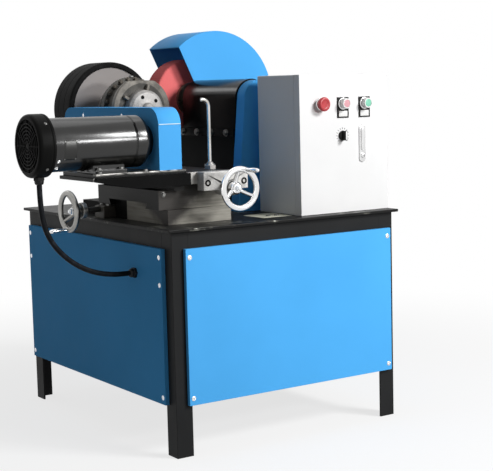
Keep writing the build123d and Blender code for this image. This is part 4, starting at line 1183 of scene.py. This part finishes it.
def makeGlands():
    bottom, top, middle = low("motor_gland"), high("motor_gland"), mid("motor_gland")
    shape = placed(glandShape(top[2] - bottom[2]), (middle[0], middle[1], top[2]), faceDown)
    piece("motorGland", shape, "table", blackPlastic, ["motor_gland"])
    bottom, top, middle = low("panel_gland"), high("panel_gland"), mid("panel_gland")
    shape = placed(glandShape(top[0] - bottom[0]), (top[0], middle[1], middle[2]), faceLeft)
    piece("panelGland", shape, "base", blackPlastic, ["panel_gland"])


makeGlands()
print("glands: done")

# Finish and edge rounding of every solid that shows as it is

legs = ("leg_front_left", "leg_front_right", "leg_back_left", "leg_back_right")
panels = ("front_panel", "back_panel", "left_panel", "right_panel")
dressing = {
    blackFrame: (*legs, "top_rails", "lower_rails", "guard_post"),
    bluePanel: panels,
    blueCover: ("spindle_belt_cover", "wheel_guard", "guide_belt_cover"),
    blackPlate: ("top_plate",),
    motorPlateFaces: ("motor_plate",),
    cabinetCoat: ("cabinet_body", "cabinet_door"),
    blackPlastic: ("legend_plates",),
    groundSteel: ("wheel_spindle",),
    # both screws take the darkened steel as painted shade
    shadeDarkScrew: ("feed_screw", "cross_screw"),
    castBright: ("cross_bracket",),
    slideSteel: ("slide_base",),
    tableFaces: ("top_table",),
    saddleFaces: ("saddle",),
    blackSlide: ("slide_rear_base", "spindle_pedestal", "table_skirt"),
    housingGloss: ("spindle_housing",),
    motorBlack: ("motor_foot",),
    # the feed bracket is darkened here as painted shade
    darkCastAndShade: ("gearbox", "feed_bracket"),
    discPaint: ("guide_disc",),
    rodSteel: ("pipe_rest",),
}
edges = {  # radius, and the solids that get it
    0.9: (*panels, "guide_belt_cover", "spindle_belt_cover"),
    1.0: (*legs, "saddle", "motor_plate"),
    1.2: ("wheel_guard", "top_table", "slide_base", "slide_rear_base", "table_skirt"),
    1.4: ("top_plate",),
    1.5: ("feed_bracket", "spindle_pedestal", "motor_foot"),
    1.6: ("cross_bracket",),
    2.0: ("cabinet_body", "guard_post", "gearbox"),
}
weldReach = 1e-5  # metres
edgeAngle = math.radians(40)


def dress():
    for finish, names in dressing.items():
        for name in names:
            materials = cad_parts[name].data.materials
            materials.clear()
            materials.append(finish.material)
    for width, names in edges.items():
        for name in names:
            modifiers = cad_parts[name].modifiers
            modifiers.new("weld", "WELD").merge_threshold = weldReach
            bevel = modifiers.new("edges", "BEVEL")
            bevel.width = width * mm
            bevel.segments = 2
            bevel.limit_method = "ANGLE"
            bevel.angle_limit = edgeAngle
            bevel.harden_normals = False


dress()
print("solids: dressed")

# Floor, light and surroundings

studio = {"ambient": 0.09, "floorSeen": 0.9, "floorBounce": 0.22, "floorHalf": 30.0, "floorDrop": 0.0005}
studio.update(clearNear=0.75, nearReach=0.7, farReach=2.6)  # reaches in metres
lamps = {  # power, place, width and height in metres, node that it is turned to
    "keyLamp": (148.0, (2.2, -3.3, 2.9), (1.0, 1.0), None),
    "stripLamp": (44.0, (1.22, -3.3, 1.5), (0.9, 0.35), "motor_body"),
    "topLamp": (8.0, (0.2, 0.3, 3.2), (1.6, 1.6), None),
    "leftLamp": (7.0, (-3.4, -1.2, 1.6), (2.4, 2.4), None),
    "backLamp": (6.0, (-0.9, 3.2, 2.6), (0.7, 0.7), None),
}


def lamp(name, power, place, size, node):
    light = bpy.data.lights.new(name, "AREA")
    light.energy = power
    light.shape = "RECTANGLE"
    light.size, light.size_y = size
    thing = bpy.data.objects.new(name, light)
    thing.location = place
    aim = mid(node) * mm if node else (cadLow + cadHigh) / 2
    thing.rotation_euler = (Vector(aim) - Vector(place)).to_track_quat("-Z", "Y").to_euler()
    bpy.context.scene.collection.objects.link(thing)


def seenRays(tree):  # 1 for what the camera sees, straight, mirrored or through glass
    rays = tree.nodes.new("ShaderNodeLightPath").outputs
    kinds = ("Is Camera Ray", "Is Glossy Ray", "Is Transmission Ray")
    camera, glossy, through = (Wire(tree, rays[kind]) for kind in kinds)
    return camera.maths("MAXIMUM", glossy).maths("MAXIMUM", through)


def floorFinish():
    # pale floor that turns into plain white away from the machine, so that only its shadow shows
    finish = Finish("paleFloor", None, (studio["floorSeen"],) * 3, 0.9, Specular_IOR_Level=0.0)
    seen = seenRays(finish.tree)
    bounce, pale = (studio["floorBounce"],) * 3, (studio["floorSeen"],) * 3
    finish.feed("Base Color", finish.mix(seen, bounce, pale))
    across, along = finish.axes()[:2]
    distance = (across * across + along * along) ** 0.5
    clear = finish.span(distance, studio["nearReach"], studio["farReach"], studio["clearNear"], 1.0) * seen
    white = finish.tree.nodes.new("ShaderNodeEmission")
    both = finish.tree.nodes.new("ShaderNodeMixShader")
    finish.tree.links.new(clear.socket, both.inputs[0])
    finish.tree.links.new(finish.shader.outputs[0], both.inputs[1])
    finish.tree.links.new(white.outputs[0], both.inputs[2])
    finish.tree.links.new(both.outputs[0], finish.tree.nodes["Material Output"].inputs[0])
    return finish


def makeStudio():
    floorMesh = bpy.data.meshes.new("floor")
    half = studio["floorHalf"]
    corners = [(-half, -half, 0), (half, -half, 0), (half, half, 0), (-half, half, 0)]
    floorMesh.from_pydata(corners, [], [(0, 1, 2, 3)])
    floor = bpy.data.objects.new("floor", floorMesh)
    floor.location.z = -studio["floorDrop"]
    bpy.context.scene.collection.objects.link(floor)
    floorMesh.materials.append(floorFinish().material)
    world = bpy.data.worlds.new("studio")
    bpy.context.scene.world = world
    world.use_nodes = True
    background = world.node_tree.nodes["Background"]
    background.inputs["Color"].default_value = (1, 1, 1, 1)
    strength = seenRays(world.node_tree) * (1 - studio["ambient"]) + studio["ambient"]
    world.node_tree.links.new(strength.socket, background.inputs["Strength"])
    for name, settings in lamps.items():
        lamp(name, *settings)
    bpy.context.scene.view_settings.view_transform = "Standard"


makeStudio()
print("studio: done")
